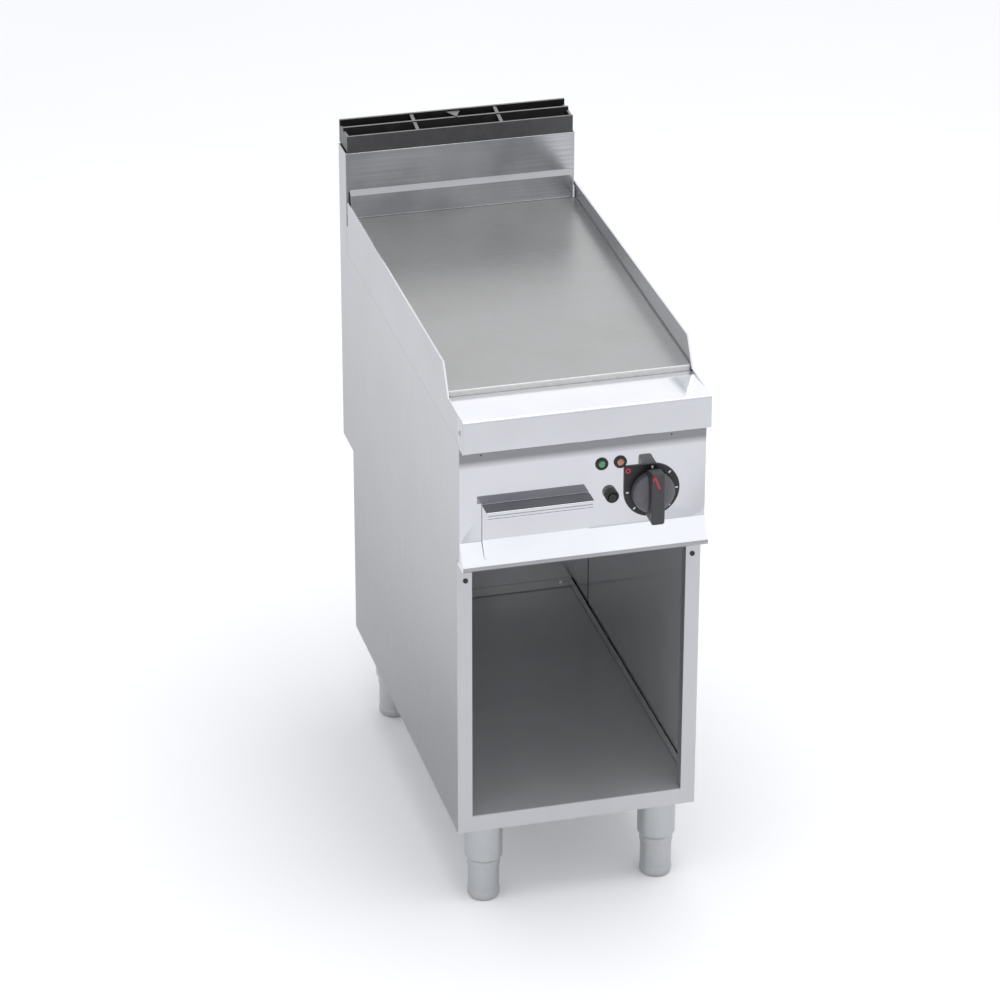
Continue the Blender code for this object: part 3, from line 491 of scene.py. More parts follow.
def sheet_section(path: Array, thickness: float) -> Array:
    """Closed outline of a bent sheet whose outer face follows a line, with rounded hems at both ends.

    The inner face is the line moved by the thickness along its normals, to the right of its direction.

    Args:
        path: rounded line, points x 2.
        thickness: sheet thickness.

    Returns:
        The outline, points x 2.
    """
    along = np.gradient(path, axis=0)
    along /= np.linalg.norm(along, axis=1)[:, None]
    normal = np.stack([along[:, 1], -along[:, 0]], 1)
    inner = path + normal * thickness
    half = np.linspace(0, np.pi, 7)[1:-1, None]
    middle = (path + inner) / 2
    r = thickness / 2
    last = middle[-1] - normal[-1] * r * np.cos(half) + along[-1] * r * np.sin(half)
    first = middle[0] + normal[0] * r * np.cos(half) - along[0] * r * np.sin(half)
    return np.concatenate([path, last, inner[::-1], first])


def swept_across(name: str, section: Array, left: float, right: float) -> Piece:
    """Carry a closed outline of depth and height along X between two ends, and close the ends.

    Args:
        name: name of the piece.
        section: outline, points x (depth, height), in millimetres.
        left: X of the first end, in millimetres.
        right: X of the last end.

    Returns:
        The swept piece.
    """
    x = np.array([[left], [right]])
    y, z = section[None, :, 0], section[None, :, 1]
    grid = np.stack(np.broadcast_arrays(x * MM, FRONT + y * MM, z * MM), -1)
    return mesh_from_grid(name, grid, around=True, caps=True)


def rectangle(front: float, back: float, low: float, high: float) -> Array:
    """Outline of a flat strip seen from the side, between two depths and two heights."""
    return np.array([(front, low), (back, low), (back, high), (front, high)])


class Axis(Enum):
    """Directions a turned piece can point in, as the two spokes and the axis."""

    UP = ((1, 0, 0), (0, 1, 0), (0, 0, 1))
    FORWARD = ((1, 0, 0), (0, 0, 1), (0, -1, 0))
    LEFT = ((0, 0, 1), (0, 1, 0), (-1, 0, 0))
    RIGHT = ((0, 1, 0), (0, 0, 1), (1, 0, 0))


def turned(name: str, profile: Array, centre: tuple[float, float, float], axis: Axis,
           segments: int = 64) -> Piece:
    """Turn a profile round an axis.

    A point at angle a and profile station s lies at centre + r(s)(cos a spoke1 + sin a spoke2) + h(s) axis.

    Args:
        name: name of the piece.
        profile: points x (radius, height), in millimetres; ends on the axis are closed by merging.
        centre: a point on the axis, in metres.
        axis: direction of the heights.
        segments: faces in one turn.

    Returns:
        The turned piece.
    """
    angle = np.linspace(0, 2 * np.pi, segments, endpoint=False)[None, :, None]
    first, second, ahead = (np.array(v, float) for v in axis.value)
    r, h = profile[:, 0][:, None, None] * MM, profile[:, 1][:, None, None] * MM
    grid = np.array(centre) + r * (np.cos(angle) * first + np.sin(angle) * second) + h * ahead
    return mesh_from_grid(name, grid, around=True, caps=False)


def stroke(name: str, line: Array, width: float, front: float) -> Piece:
    """A printed stroke on an upright face: a line widened to both sides, 0.12 mm thick.

    Args:
        name: name of the piece.
        line: points x (x, z), in millimetres.
        width: width of the stroke, in millimetres.
        front: Y of the printed face, in metres.

    Returns:
        The stroke.
    """
    along = np.gradient(line, axis=0)
    along /= np.linalg.norm(along, axis=1)[:, None]
    side = np.stack([-along[:, 1], along[:, 0]], 1) * width / 2
    ring = np.stack([line - side, line + side], 1)
    layer = [np.concatenate([ring * MM, np.full((*ring.shape[:2], 1), front - up * MM)], -1)
             for up in (0.0, 0.12)]
    grid = np.concatenate([layer[0], layer[1][:, ::-1]], 1)[:, :, [0, 2, 1]]
    return mesh_from_grid(name, grid, around=True, caps=True)


def softened(node: str, width: float = 0.5, segments: int = 2) -> Piece:
    """A copy of a CAD node with its edges rounded over, as folded and deburred sheet has.

    Args:
        node: name of the CAD node.
        width: width of the rounding, in millimetres.
        segments: faces across the rounding.

    Returns:
        The copy, which stands for the node.
    """
    shape = bmesh.new()
    shape.from_mesh(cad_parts[node].data)
    bmesh.ops.remove_doubles(shape, verts=shape.verts, dist=1e-5)
    bmesh.ops.dissolve_limit(shape, angle_limit=math.radians(1.0), verts=shape.verts, edges=shape.edges)
    mesh = bpy.data.meshes.new(f"{node}_formed")
    shape.to_mesh(mesh)
    shape.free()
    made = bpy.data.objects.new(f"{node}_formed", mesh)
    bpy.context.scene.collection.objects.link(made)
    soften_edges(made, width, segments)
    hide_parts(node)
    return made


def soften_edges(piece: Piece, width: float, segments: int = 2) -> None:
    """Round a piece's sharp edges over.

    Args:
        piece: the piece.
        width: width of the rounding, in millimetres.
        segments: faces across the rounding.
    """
    bevel = piece.modifiers.new("eased edges", "BEVEL")
    bevel.width = width * MM
    bevel.segments = segments
    bevel.limit_method = "ANGLE"
    bevel.angle_limit = math.radians(40)


def fit(piece: Piece, finish: Finish, *nodes: str, body: str = "cabinet",
        slot: str = "brushed_steel", sharp: float = 32.0) -> Piece:
    """Dress a piece and join it to its body.

    Args:
        piece: the piece, in place.
        finish: its finish.
        *nodes: CAD nodes it stands for.
        body: CAD body it moves with.
        slot: the record's material slot; not used.
        sharp: angle, in degrees, above which an edge stays sharp.

    Returns:
        The piece.
    """
    piece.data.materials.clear()
    piece.data.materials.append(finish.material())
    piece.data.shade_smooth()
    piece.data.set_sharp_from_angle(angle=math.radians(sharp))
    flat = piece.modifiers.new("flat faces stay flat", "WEIGHTED_NORMAL")
    flat.keep_sharp = True
    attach(piece, body)
    if nodes:
        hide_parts(*nodes)
    log.info("%s rides on %s in %s", piece.name, body, finish.name)
    return piece


def dress_facing(piece: Piece, finish: Finish, least: float = 0.3, most: float = 1.1,
                 towards: tuple[int, int, int] = (0, 0, 1), before: float = 10.0) -> None:
    """Give the faces that look one way a finish of their own.

    Args:
        piece: the piece.
        finish: finish of those faces.
        least: smallest part of a face's normal that points that way.
        most: largest part.
        towards: the way, upwards unless given.
        before: largest Y of a face's centre.
    """
    piece.data.materials.append(finish.material())
    faces = piece.data.polygons
    normals = np.empty(len(faces) * 3)
    faces.foreach_get("normal", normals)
    index = np.empty(len(faces), np.int32)
    faces.foreach_get("material_index", index)
    share = normals.reshape(-1, 3) @ np.array(towards, float)
    centres = np.empty(len(faces) * 3)
    faces.foreach_get("center", centres)
    chosen = (share > least) & (share < most) & (centres.reshape(-1, 3)[:, 1] < before)
    index[chosen] = len(piece.data.materials) - 1
    faces.foreach_set("material_index", index)


# --- sub-assemblies ---------------------------------------------------------------------------------
@dataclass
class Cabinet:
    """Side sheets, front frame, open bay and back. Sizes are in millimetres.

    Attributes:
        ease: rounding of the folded sheets' edges.
        frame_ease: rounding of the front frame's edges.
        wall: distance of the bay's walls from the middle.
        shelf: height of the shelf's upper face.
        rear: depth at which the shelf turns up.
        seam: first and last depth of the upright seam in each wall.
    """

    ease: float = 0.55
    frame_ease: float = 0.7
    wall: float = 197.0
    shelf: float = 175.6
    rear: float = 771.4
    seam: tuple[float, float] = (669.0, 672.6)

    def build(self) -> None:
        """Give each folded sheet eased edges and its own rolling direction."""
        for node in ("left_side_panel", "right_side_panel"):
            fit(softened(node, self.ease), SIDE_STEEL)
        fit(softened("front_frame", self.frame_ease), FRAME_STEEL)
        self.build_lining()
        for node in ("bottom_shelf", "cabinet_back"):
            fit(softened(node, self.ease), MILL)
        flue_back = fit(softened("flue_back", self.ease), SATIN_Z)
        # The flue back's inner faces get the black painted shade.
        dress_facing(flue_back, FLUE_SHADE, 0.5, towards=(0, -1, 0))
        for node in ("cavity_ceiling", "left_foot_rail", "right_foot_rail"):
            fit(softened(node, self.ease), GALVANISED, slot="galvanised_steel")
        head = np.array([(0, 0.9), (1.5, 0.9), (1.7, 2.3), (2.9, 2.3), (4.0, 1.3), (4.2, 0.3), (4.2, 0),
                         (0, 0)])
        for side in ("left", "right"):
            low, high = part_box(f"{side}_post_screw")
            middle = (low + high) / 2
            fit(turned(f"{side}_post_screw_head", head, (middle.x, high.y, middle.z), Axis.FORWARD, 32),
                DARK_SCREW, f"{side}_post_screw", slot="zinc")

    def build_lining(self) -> None:
        """Bay walls, 1 mm sheet inside each side panel, the shelf's upstands, and black strips of painted
        shadow in the shelf's joints and the wall seams.
        """
        front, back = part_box("cavity_ceiling")[0].y + 0.001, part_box("cabinet_back")[0].y - 0.0006
        low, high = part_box("bottom_shelf")[1].z + 0.0016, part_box("cavity_ceiling")[0].z - 0.0006
        start, rear = (front - FRONT) / MM, self.rear - 0.2
        y, z = np.meshgrid(np.linspace(front, back, 9), np.linspace(low, high, 7))
        upstand = rectangle(self.rear, self.rear + 1.2, self.shelf, self.shelf + 16.4)
        fit(swept_across("shelf_upstand", upstand, 1.0 - self.wall, self.wall - 1.0), MILL)
        # The joint and seam strips are black painted shadow.
        along = (("shelf_side_upstand", rectangle(start, rear, self.shelf, 191.0), (193.6, 194.6), MILL),
                 ("shelf_gap_shadow", rectangle(start, rear, self.shelf, 190.0), (194.6, self.wall), JOINT_SHADOW),
                 ("wall_seam_shadow", rectangle(*self.seam, self.shelf, high / MM), (196.7, 197.1), JOINT_SHADOW))
        head = np.array([(0, 2.0), (2.4, 1.8), (4.0, 0.8), (4.3, 0), (0, 0)])
        for side, turn in SIDES:
            grid = np.stack([np.full_like(y, turn * self.wall * MM), y, z], -1)
            wall = mesh_from_grid(f"{side}_bay_lining", grid, around=False, caps=False)
            if wall.data.polygons[0].normal.x * turn > 0:
                wall.data.flip_normals()
            sheet = wall.modifiers.new("sheet", "SOLIDIFY")
            sheet.thickness = 1.0 * MM
            fit(wall, MILL)
            for part, outline, ends, finish in along:
                fit(swept_across(f"{side}_{part}", outline, *sorted(turn * end for end in ends)), finish)
            place = (turn * 0.176, at(self.rear - 0.1), 0.1845)
            # The shelf screw's near-white head is a painted glint.
            fit(turned(f"{side}_shelf_screw", head, place, Axis.FORWARD, 24), GLINT_SCREW, slot="zinc")


@dataclass
class Feet:
    """Four height-adjustable round feet.

    Attributes:
        sleeve: radius and height of the fixed sleeve's outline, from its top down.
        stem: radius and height of the screwed lower part's outline.
    """

    sleeve: tuple[tuple[float, float], ...] = (
        (0, 145), (30.6, 145), (31.2, 144.7), (31.5, 144.0), (31.5, 80.0), (31.2, 79.0), (30.4, 77.8),
        (28.6, 74.8), (27.9, 73.4), (27.6, 72.2), (27.6, 62.8), (27.4, 62.2), (26.9, 62.0), (26.5, 62.4),
        (26.5, 130.5), (0, 130.5))
    stem: tuple[tuple[float, float], ...] = (
        (0, 130), (24.5, 130), (25.6, 129.4), (26.0, 128.4), (26.0, 60.6), (25.5, 60.0), (25.5, 58.4),
        (26.0, 57.8), (26.0, 16.0), (26.3, 14.4), (26.7, 12.6), (26.8, 11.6), (26.8, 7.0), (26.5, 5.2),
        (25.8, 3.4), (24.9, 1.7), (23.9, 0.6), (22.9, 0.1), (22.0, 0.0), (0, 0))

    def build(self) -> None:
        """Turn each sleeve and stem round the middle of its CAD solid."""
        for side in ("left", "right"):
            for row in ("front", "rear"):
                name = f"{side}_{row}_foot"
                low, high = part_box(f"{name}_stem")
                centre = ((low.x + high.x) / 2, (low.y + high.y) / 2, 0.0)
                fit(turned(f"{name}_sleeve_turned", np.array(self.sleeve), centre, Axis.UP), FOOT_STEEL,
                    f"{name}_sleeve", sharp=50)
                fit(turned(f"{name}_stem_turned", np.array(self.stem), centre, Axis.UP), FOOT_STEEL,
                    f"{name}_stem", body=name, sharp=50)


@dataclass
class Worktop:
    """Front strip with its apron, the side guards and the screws in the apron's ends. Sizes in millimetres.

    Attributes:
        bend: outer radius of the apron's bends.
        sheet: sheet thickness.
        half: half the strip's width.
        outer: distance of the end plates' outer faces from the middle.
        end_plate: thickness of an end plate.
        guard_ease: rounding of the guards' edges.
        screw: depth and height of an end plate's screw.
    """

    bend: float = 5.5
    sheet: float = 1.5
    half: float = 199.8
    outer: float = 200.0
    end_plate: float = 2.4
    guard_ease: float = 0.35
    screw: tuple[float, float] = (22.5, 874.5)

    def build(self) -> None:
        """Sweep the strip, then add its end plates and the guards."""
        line = np.array([(23.6, 855.0), (23.6, 845.0), (0.0, 845.0), (0.0, 902.8), (104.5, 897.5),
                         (104.5, 894.7)])
        line = rounded_path(line, self.bend, 7)
        strip = swept_across("worktop_strip", sheet_section(line, self.sheet), -self.half, self.half)
        fit(strip, APRON_STEEL, "worktop_front", slot="polished_steel", sharp=50)
        # The strip's faces that look up get the painted highlight.
        dress_facing(strip, LIT_TOP_STEEL)
        # The left guard takes the side sheet with its painted shade towards the floor.
        for (side, turn), finish in zip(SIDES, (SIDE_STEEL, SATIN_Y)):
            self.build_end(side, turn)
            # The guards' top faces and rounded edges get the painted highlight.
            guard = fit(softened(f"{side}_splash_guard", self.guard_ease), finish)
            dress_facing(guard, LIT_TOP_STEEL)
            guard.modifiers["eased edges"].material = 1

    def build_end(self, side: str, turn: float) -> None:
        """End plate of the apron with its screw.

        Args:
            side: name of the side.
            turn: -1 on the left, 1 on the right.
        """
        outline = np.array([(0.7, 870.0), (0.7, 845.4), (26.4, 845.4), (26.4, 852.6), (30.0, 852.6),
                            (30.0, 900.7), (0.7, 902.2), (0.7, 870.0)])
        outline = rounded_path(outline, self.bend, 6)[:-1]
        ends = sorted((turn * (self.outer - self.end_plate), turn * self.outer))
        plate = swept_across(f"{side}_apron_end", outline, *ends)
        soften_edges(plate, 0.6)
        fit(plate, SATIN_Z, slot="polished_steel", sharp=50)
        head = np.array([(0, 0.3), (1.6, 0.3), (1.9, 1.2), (3.2, 1.1), (4.2, 0.5), (4.4, 0), (4.4, -1.0),
                         (0, -1.0)])
        place = (turn * self.outer * MM, at(self.screw[0]), self.screw[1] * MM)
        way = Axis.LEFT if turn < 0 else Axis.RIGHT
        fit(turned(f"{side}_apron_screw", head, place, way, 32), SCREW_STEEL, slot="zinc")


@dataclass
class Griddle:
    """The cooking plate and what lies under it.

    Attributes:
        nose: radius of the rounded front edge.
        half: half the plate's width.
    """

    nose: float = 3.2
    half: float = 196.6

    def build(self) -> None:
        """Plate with rounded edges; the inner pieces only get their finishes."""
        low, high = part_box("griddle_plate")
        front, back = (low.y - FRONT) / MM, (high.y - FRONT) / MM
        line = np.array([(400.0, 900.1), (front, 894.0), (front, 907.0), (back, 921.2), (back, 908.2),
                         (400.0, 900.1)])
        outline = rounded_path(line, self.nose, 6)[:-1]
        plate = swept_across("griddle_plate_ground", outline, -self.half, self.half)
        soften_edges(plate, 1.0, 3)
        fit(plate, PLATE, "griddle_plate", slot="griddle_steel", sharp=50)
        # The plate's front edge is painted lighter: a painted highlight.
        dress_facing(plate, PLATE_EDGE, -0.1, 0.97, before=at(120.0))
        self.build_joints()
        fit(softened("grease_gutter", 0.4), SATIN_X)
        fit(softened("heat_pan", 0.4), GALVANISED, slot="galvanised_steel")
        fit(softened("insulation_board", 2.0), BOARD, slot="insulation")

    def build_joints(self) -> None:
        """Weld beads that close the joints between the plate, the strip in front and the guards."""
        front = np.array([(104.0, 893.0), (106.4, 893.0), (106.4, 897.2), (105.2, 897.4), (104.0, 897.2)])
        fit(swept_across("plate_front_joint", front, -197.5, 197.5), PLATE_JOINT, slot="griddle_steel")
        along = np.array([(107.0, 899.0), (785.5, 913.5), (785.5, 919.6), (107.0, 905.4)])
        for side, turn in SIDES:
            ends = sorted(turn * end for end in (196.2, 198.7))
            fit(swept_across(f"{side}_plate_joint", along, *ends), PLATE_JOINT, slot="griddle_steel")


@dataclass
class Flue:
    """Splash back, flue front and the cast grille on top. Sizes in millimetres.

    Attributes:
        folded: rounding of the splash back's edges.
        duct: rounding of the flue front's edges.
        cast: rounding of the casting's edges.
        front_wall: depth just behind the casting's front wall.
    """

    folded: float = 0.4
    duct: float = 0.6
    cast: float = 0.9
    front_wall: float = 799.0

    def build(self) -> None:
        """Ease the sheets and give the casting its thick rounded edges."""
        splash = fit(softened("splash_back", self.folded), SATIN_X)
        # The splash back's faces that look up get the painted shade.
        dress_facing(splash, SPLASH_SHADE_STEEL)
        flue_front = fit(softened("flue_front", self.duct), SATIN_X)
        # The flue front's inner faces get the black painted shade.
        dress_facing(flue_front, FLUE_SHADE, 0.5, towards=(0, 1, 0))
        grille = fit(softened("flue_grille", self.cast), ENAMEL, body="flue_grille", slot="black_enamel")
        # The grille's faces that look forward get the black painted shade.
        dress_facing(grille, FLUE_SHADE, 0.5, towards=(0, -1, 0))
        # The front wall's faces get the painted light and the faces that look up the painted highlight.
        dress_facing(grille, LIT_FRONT_ENAMEL, 0.9, towards=(0, -1, 0), before=at(self.front_wall))
        dress_facing(grille, LIT_TOP_ENAMEL, least=0.8)


@dataclass
class ControlPanel:
    """Pressed panel, grease drawer, lamps and reset button.

    Attributes:
        face: depth of the panel's outer face, in millimetres.
        corner: radius of the drawer front's lower corners.
        sheet: thickness of the drawer front's sheet.
    """

    face: float = 24.9
    corner: float = 6.0
    sheet: float = 1.2

    def build(self) -> None:
        """Panel, drawer front, lamps, reset and the two small fixing screws."""
        panel = fit(softened("control_panel", 0.5), SHADED_MIRROR, slot="polished_steel", sharp=25)
        # The ledge's faces that look up get the painted highlight.
        dress_facing(panel, LEDGE_STEEL)
        for least, most in ((0.02, 0.53), (-0.98, -0.02)):
            dress_facing(panel, NOSE_STEEL, least, most)
        dot = np.array([(0, 0.5), (1.2, 0.4), (1.5, 0), (0, 0)])
        for side, x, z in (("left", -0.165, 0.831), ("right", 0.143, 0.830)):
            fit(turned(f"{side}_panel_rivet", dot, (x, at(self.face), z), Axis.FORWARD, 20), DARK_SCREW,
                slot="zinc")
        fit(softened("drawer_tray", 0.5), SATIN_Y, body="drawer")
        self.build_drawer_front()
        for colour, lens in (("green", GREEN_LENS), ("amber", AMBER_LENS)):
            self.build_lamp(colour, lens)
        self.build_reset()

    def build_drawer_front(self) -> None:
        """Front plate with its hooked pull: one bent sheet whose lower corners are rounded.

        The sheet is a grid: its columns follow the bent line, its rows run across. Near the lower edge the
        width shrinks as a quarter circle, so the corners come out round.
        """
        low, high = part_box("drawer_front")
        left, right = low.x / MM, high.x / MM
        lip = (low.y - FRONT) / MM
        line = np.array([(7.0, 656.9), (23.4, 684.0), (23.4, 745.5), (lip, 745.5), (lip, 732.2),
                         (lip + 1.4, 732.2)])
        line = rounded_path(line, 1.9, 6)
        extra = line[0] + (line[1] - line[0]) * np.linspace(0, 0.22, 9)[:, None]
        line = np.concatenate([extra, line[1:]])
        run = np.concatenate([[0], np.cumsum(np.linalg.norm(np.diff(line, axis=0), axis=1))])
        near = np.clip(run, 0, self.corner)
        pulled = self.corner - np.sqrt(np.maximum(self.corner ** 2 - (self.corner - near) ** 2, 0))
        across = np.linspace(0, 1, 2)[:, None]
        x = (left + pulled) * (1 - across) + (right - pulled) * across
        grid = np.stack(np.broadcast_arrays(x * MM, FRONT + line[:, 0] * MM, line[:, 1] * MM), -1)
        piece = mesh_from_grid("drawer_front_pressed", grid, around=False, caps=False)
        wall = piece.modifiers.new("sheet", "SOLIDIFY")
        wall.thickness = self.sheet * MM
        wall.offset = -1.0
        soften_edges(piece, 0.3)
        if max(piece.data.polygons, key=lambda face: face.area).normal.y < 0:
            piece.data.flip_normals()
        fit(piece, MIRROR_X, "drawer_front", body="drawer", slot="polished_steel", sharp=60)
        # The drawer's sloped lower part gets the ledge's painted highlight.
        dress_facing(piece, LEDGE_STEEL, least=-0.9, most=-0.25)
        # The pull's top faces get the painted shade.
        dress_facing(piece, SHADED_PULL_STEEL, least=0.9)
        # Two grey strokes under the pull's front edge are painted shadow lines.
        for number, (z, width) in enumerate(((739.6, 1.6), (734.6, 1.2)), start=1):
            ends = np.array([(left + 2.0, z), (right - 2.0, z)])
            fit(stroke(f"pull_shadow_line_{number}", ends, width, low.y), PULL_SHADOW_LINE, body="drawer",
                slot="polished_steel")

    def build_lamp(self, colour: str, lens: LampLens) -> None:
        """One pilot lamp: a stepped bezel and a domed lens.

        Args:
            colour: name of the lamp.
            lens: finish of its lens.
        """
        low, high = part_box(f"{colour}_lamp_bezel")
        centre = ((low.x + high.x) / 2, high.y, (low.z + high.z) / 2)
        ring = np.array([(6.1, 0), (10.4, 0), (10.4, 1.4), (10.1, 2.2), (9.4, 2.8), (8.4, 3.0), (7.2, 3.0),
                         (6.5, 2.6), (6.1, 1.8), (6.1, 0)])
        fit(turned(f"{colour}_lamp_ring", ring, centre, Axis.FORWARD), TRIM_PLASTIC, f"{colour}_lamp_bezel",
            slot="black_plastic", sharp=60)
        angle = np.linspace(0, np.pi / 2, 12)
        dome = np.stack([5.9 * np.cos(angle), 1.6 + 2.6 * np.sin(angle)], 1)
        dome = np.concatenate([[(0, 0), (5.9, 0)], dome])
        dome[-1, 0] = 0
        fit(turned(f"{colour}_lamp_dome", dome, centre, Axis.FORWARD, 48), lens, f"{colour}_lamp_lens",
            slot=f"{colour}_lens", sharp=60)

    def build_reset(self) -> None:
        """Reset button standing in a rounded collar."""
        low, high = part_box("reset_collar")
        centre = ((low.x + high.x) / 2, high.y, (low.z + high.z) / 2)
        ring = np.array([(7.2, 0), (10.8, 0), (10.8, 9.9), (10.6, 10.9), (10.0, 11.7), (9.2, 12.0),
                         (8.2, 12.0), (7.5, 11.7), (7.2, 11.1), (7.2, 0)])
        fit(turned("reset_collar_moulded", ring, centre, Axis.FORWARD), TRIM_PLASTIC, "reset_collar",
            slot="black_plastic", sharp=60)
        low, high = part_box("reset_button")
        reach = (high.y - low.y) / MM
        cap = np.array([(0, 0), (6.8, 0), (6.8, reach - 2.0), (6.5, reach - 0.9), (5.7, reach - 0.2),
                        (4.8, reach), (3.6, reach - 0.25), (0, reach - 0.6)])
        fit(turned("reset_button_cap", cap, (centre[0], high.y, centre[2]), Axis.FORWARD, 48), TRIM_PLASTIC,
            "reset_button", body="reset_button", slot="black_plastic", sharp=60)


@dataclass
class Knob:
    """Dial plate with its scale, and the knob with its bar grip.

    Attributes:
        off_angle: direction of the off mark, in degrees from +X, seen by the cook.
        step: angle between two marks.
        scale_radius: radius of the circle of marks, in millimetres.
        mark: half the length of a mark, and its width.
        off_ring: radius and line width of the ring at the off corner.
        off_corner: the ring's middle, sideways and upwards from the knob's axis.
        rounding: radius of the grip's front edge.
    """

    off_angle: float = 135.0
    step: float = 45.0
    scale_radius: float = 40.3
    mark: tuple[float, float] = (2.3, 2.5)
    off_ring: tuple[float, float] = (3.3, 2.1)
    off_corner: tuple[float, float] = (-39.5, 38.0)
    rounding: float = 3.0

    def build(self) -> None:
        """Plate, marks, dome, grip and index."""
        low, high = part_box("dial_plate")
        base_low, base_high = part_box("knob")
        self.x = (base_low.x + base_high.x) / 2 / MM
        self.z = (base_low.z + base_high.z) / 2 / MM
        self.plate_front, self.base, self.top = low.y, base_high.y, base_low.y
        fit(softened("dial_plate", 0.7, 3), TRIM_PLASTIC, slot="black_plastic", sharp=25)
        self.build_marks()
        self.build_dome()
        self.build_grip()
        self.build_index()

    def build_marks(self) -> None:
        """White marks round the scale and a red ring at the off corner."""
        for number in range(1, 8):
            angle = math.radians(self.off_angle - self.step * number)
            out = np.array([math.cos(angle), math.sin(angle)])
            reach = np.array([[-self.mark[0]], [self.mark[0]]])
            ends = np.array([self.x, self.z]) + out * reach + out * self.scale_radius
            mark = stroke(f"dial_mark_{number}", ends, self.mark[1], self.plate_front)
            fit(mark, WHITE_PRINT, slot="black_plastic")
        turn = np.linspace(0, 2 * np.pi, 33)[:, None]
        radius, width = self.off_ring
        corner = np.array([self.x, self.z]) + np.array(self.off_corner)
        ring = corner + radius * np.concatenate([np.cos(turn), np.sin(turn)], 1)
        fit(stroke("dial_off_ring", ring, width, self.plate_front), RED_PRINT, slot="red_inlay")

    def build_dome(self) -> None:
        """Low round body of the knob: a skirt, a soft shoulder and a shallow crown."""
        angle = np.linspace(0, np.pi / 2, 12)
        crown = np.stack([34.4 * np.cos(angle) ** 0.62, 10.5 + 10.6 * np.sin(angle) ** 1.25], 1)
        crown[-1, 0] = 0
        profile = np.concatenate([[(0, 0), (33.8, 0), (34.4, 0.7)], crown])
        dome = turned("knob_dome", profile, (self.x * MM, self.base, self.z * MM), Axis.FORWARD, 96)
        fit(dome, DOME_PLASTIC, "knob", body="knob", slot="black_plastic", sharp=60)

    def build_grip(self) -> None:
        """Bar grip: outlines |x/a|^n + |z/b|^n = 1 stacked forward, with a and b changing with the height.

        The bar narrows a little towards its front, its ends lean outwards, and a quarter circle rounds the
        front edge.
        """
        reach = (self.base - self.top) / MM
        edge = reach - self.rounding
        lift = np.concatenate([np.linspace(6.0, edge, 14),
                               edge + self.rounding * np.sin(np.linspace(0, np.pi / 2, 9)[1:])])
        share = (lift - 6.0) / (reach - 6.0)
        past = np.clip(lift - edge, 0, self.rounding)
        shrink = self.rounding - np.sqrt(np.maximum(self.rounding ** 2 - past ** 2, 0))
        wide = (12.3 - 1.3 * share - 0.5 * np.sin(np.pi * share) - shrink)[:, None]
        long = (39.5 + 5.0 * np.sqrt(np.clip(share, 0, 1)) - shrink)[:, None]
        angle = np.linspace(0, 2 * np.pi, 120, endpoint=False)[None]
        x = self.x + wide * np.sign(np.cos(angle)) * np.abs(np.cos(angle)) ** (2 / 9)
        z = self.z + long * np.sign(np.sin(angle)) * np.abs(np.sin(angle)) ** (2 / 18)
        y = np.broadcast_to(self.base - lift[:, None] * MM, x.shape)
        grip = mesh_from_grid("knob_grip", np.stack([x * MM, y, z * MM], -1), around=True, caps=True)
        fit(grip, KNOB_PLASTIC, body="knob", slot="black_plastic", sharp=50)

    def build_index(self) -> None:
        """Slanted red index with a short barb, on the upper half of the grip."""
        tip = np.array([self.x - 7.0, self.z + 42.0])
        foot = np.array([self.x + 1.5, self.z + 19.0])
        barb = np.array([self.x - 8.6, self.z + 34.0])
        front = self.top + 0.00002
        fit(stroke("knob_index_line", np.stack([foot, tip]), 2.6, front), RED_PRINT, "knob_mark", body="knob",
            slot="red_inlay")
        fit(stroke("knob_index_barb", np.stack([barb, tip]), 2.2, front), RED_PRINT, body="knob",
            slot="red_inlay")


@dataclass
class InnerPieces:
    """CAD nodes whose shape is right and that stay as they are, with their finishes."""

    def build(self) -> None:
        """Assign each node's finish."""
        dressed: dict[Finish, tuple[str, ...]] = {
            SHEATH: ("heating_element_1", "heating_element_2", "heating_element_3"),
            GALVANISED: ("element_clamp_1", "element_clamp_2", "left_drawer_runner", "right_drawer_runner"),
            GREY_PLASTIC: ("contactor", "terminal_block", "cable_gland", "safety_thermostat",
                           "thermostat_body", "green_lamp_body", "amber_lamp_body"),
            SCREW_STEEL: ("thermostat_shaft",),
            SATIN_X: ("grease_spout",),
        }
        for finish, nodes in dressed.items():
            for node in nodes:
                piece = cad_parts[node]
                piece.data.materials.clear()
                piece.data.materials.append(finish.material())
                log.info("%s keeps its shape in %s", node, finish.name)


# --- studio -----------------------------------------------------------------------------------------
@dataclass(frozen=True)
class StudioFloor(Finish):
    """Matt white studio floor with a barely visible mottle."""

    def paint(self, tree: Tree, shader: Node, place: Socket) -> None:
        """Mottle in patches of about half a metre."""
        cloud = add(tree, "ShaderNodeTexNoise", {"Vector": place, "Scale": 2.0, "Detail": 2.0})
        paint = add(tree, "ShaderNodeMix", {0: cloud.outputs[0], 6: linear(self.colour),
                                            7: linear("#f8f8f8")}, data_type="RGBA")
        tree.links.new(paint.outputs[2], shader.inputs["Base Color"])


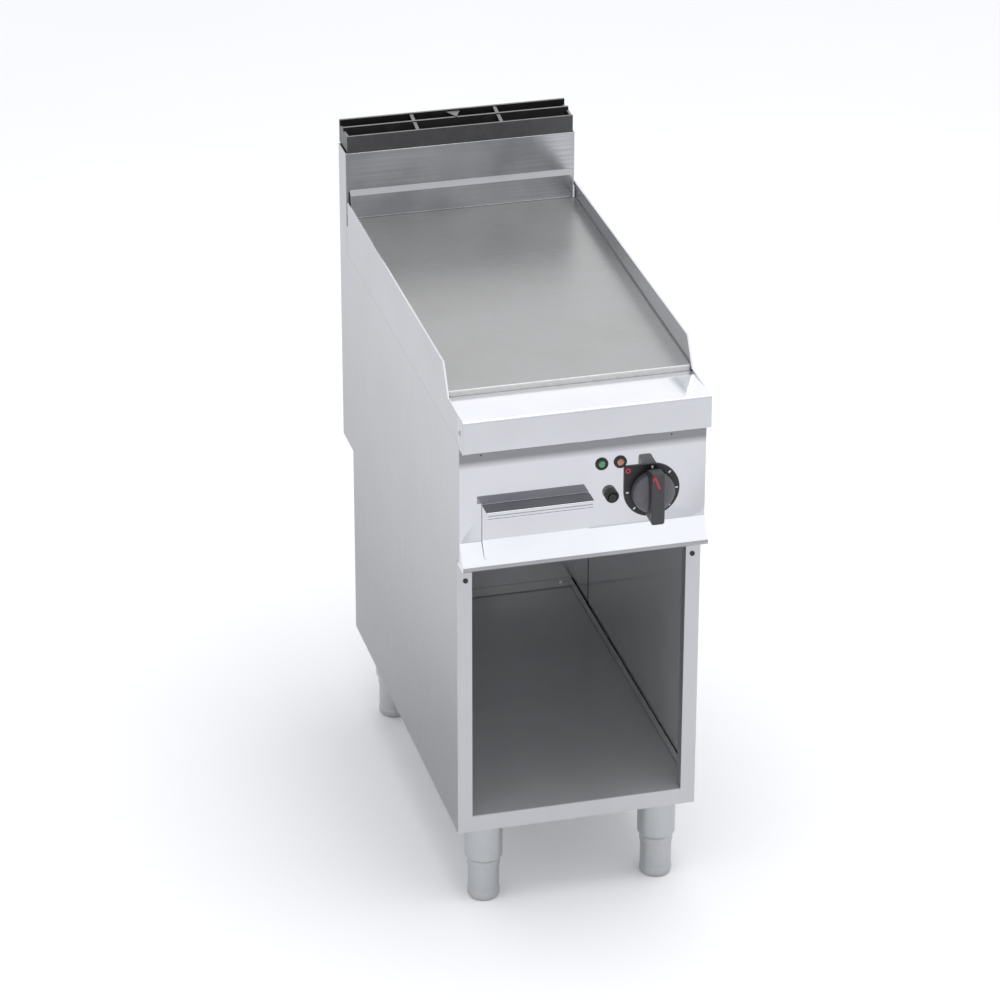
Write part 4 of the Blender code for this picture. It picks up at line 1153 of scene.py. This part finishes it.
@dataclass
class Studio:
    """Floor, light and camera.

    Attributes:
        azimuth: the camera's side angle, in degrees; 0 looks along +Y.
        elevation: its angle above the horizon.
        roll: its turn about its own axis.
        place: where it stands, in metres.
        lens: focal length on a 36 mm sensor.
    """

    azimuth: float = -14.82
    elevation: float = 26.62
    roll: float = 0.06
    place: tuple[float, float, float] = (-1.63006, -6.04694, 3.68024)
    lens: float = 151.166

    def build(self) -> None:
        """Set the whole studio up."""
        self.build_floor()
        self.build_world()
        self.add_softbox("overhead softbox", place=(0.5, -0.4, 5.0), aim=(0.1, 0.0, 0.0), size=(3.0, 3.0),
                         brightness=3.2)
        self.build_camera()
        scene = bpy.context.scene
        scene.view_settings.view_transform = "Standard"
        scene.view_settings.look = "None"

    def build_floor(self) -> None:
        """A wide flat grid at z = 0."""
        steps = np.linspace(-30.0, 30.0, 5)
        x, y = np.meshgrid(steps, steps)
        grid = np.stack([x, y, np.zeros_like(x)], -1)
        floor = mesh_from_grid("studio_floor", grid, around=False, caps=False)
        if floor.data.polygons[0].normal.z < 0:
            floor.data.flip_normals()
        floor.data.materials.append(StudioFloor("matt white floor", "#fbfbfb", 0.8).material())

    def build_world(self) -> None:
        """White sky, a little dimmer overhead, where the softbox hangs."""
        world = bpy.data.worlds.new("studio")
        bpy.context.scene.world = world
        world.use_nodes = True
        tree = world.node_tree
        place = add(tree, "ShaderNodeTexCoord").outputs["Generated"]
        height = add(tree, "ShaderNodeSeparateXYZ", {0: place}).outputs["Z"]
        share = add(tree, "ShaderNodeMapRange", {0: height, "From Min": 0.55, "From Max": 1.0})
        paint = add(tree, "ShaderNodeMix", {0: share.outputs[0], 6: linear("#fafbff"), 7: linear("#d0d1d4")},
                    data_type="RGBA")
        back = tree.nodes["Background"]
        tree.links.new(paint.outputs[2], back.inputs["Color"])
        back.inputs["Strength"].default_value = 1.05

    def add_softbox(self, name: str, place: tuple[float, float, float], aim: tuple[float, float, float],
                    size: tuple[float, float], brightness: float) -> None:
        """One large area light; its power is brightness x pi x area.

        Args:
            name: name of the light.
            place: its centre, in metres.
            aim: the point it faces.
            size: its width and height.
            brightness: how bright its face looks, with the white sky near 1.
        """
        data = bpy.data.lights.new(name, "AREA")
        data.shape = "RECTANGLE"
        data.size, data.size_y = size
        data.energy = brightness * math.pi * size[0] * size[1]
        lamp = bpy.data.objects.new(name, data)
        bpy.context.scene.collection.objects.link(lamp)
        lamp.location = place
        lamp.rotation_euler = (Vector(aim) - Vector(place)).to_track_quat("-Z", "Y").to_euler()

    def build_camera(self) -> None:
        """Camera on a long lens, well back."""
        data = bpy.data.cameras.new("camera")
        data.lens, data.sensor_width = self.lens, 36.0
        data.clip_end = 200.0
        camera = bpy.data.objects.new("camera", data)
        bpy.context.scene.collection.objects.link(camera)
        a, e = math.radians(self.azimuth), math.radians(self.elevation)
        ahead = -Vector((math.sin(a) * math.cos(e), -math.cos(a) * math.cos(e), math.sin(e)))
        turn = ahead.to_track_quat("-Z", "Y").to_matrix() @ Matrix.Rotation(math.radians(self.roll), 3, "Z")
        camera.location = self.place
        camera.rotation_euler = turn.to_euler()
        bpy.context.scene.camera = camera


def main() -> None:
    """Build the sub-assemblies in order, then the studio."""
    logging.basicConfig(level=logging.INFO, format="%(name)s: %(message)s")
    for part in (Cabinet(), Feet(), Worktop(), Griddle(), Flue(), ControlPanel(), Knob(), InnerPieces(),
                 Studio()):
        log.info("building %s", type(part).__name__)
        part.build()


if __name__ == "__main__":
    main()
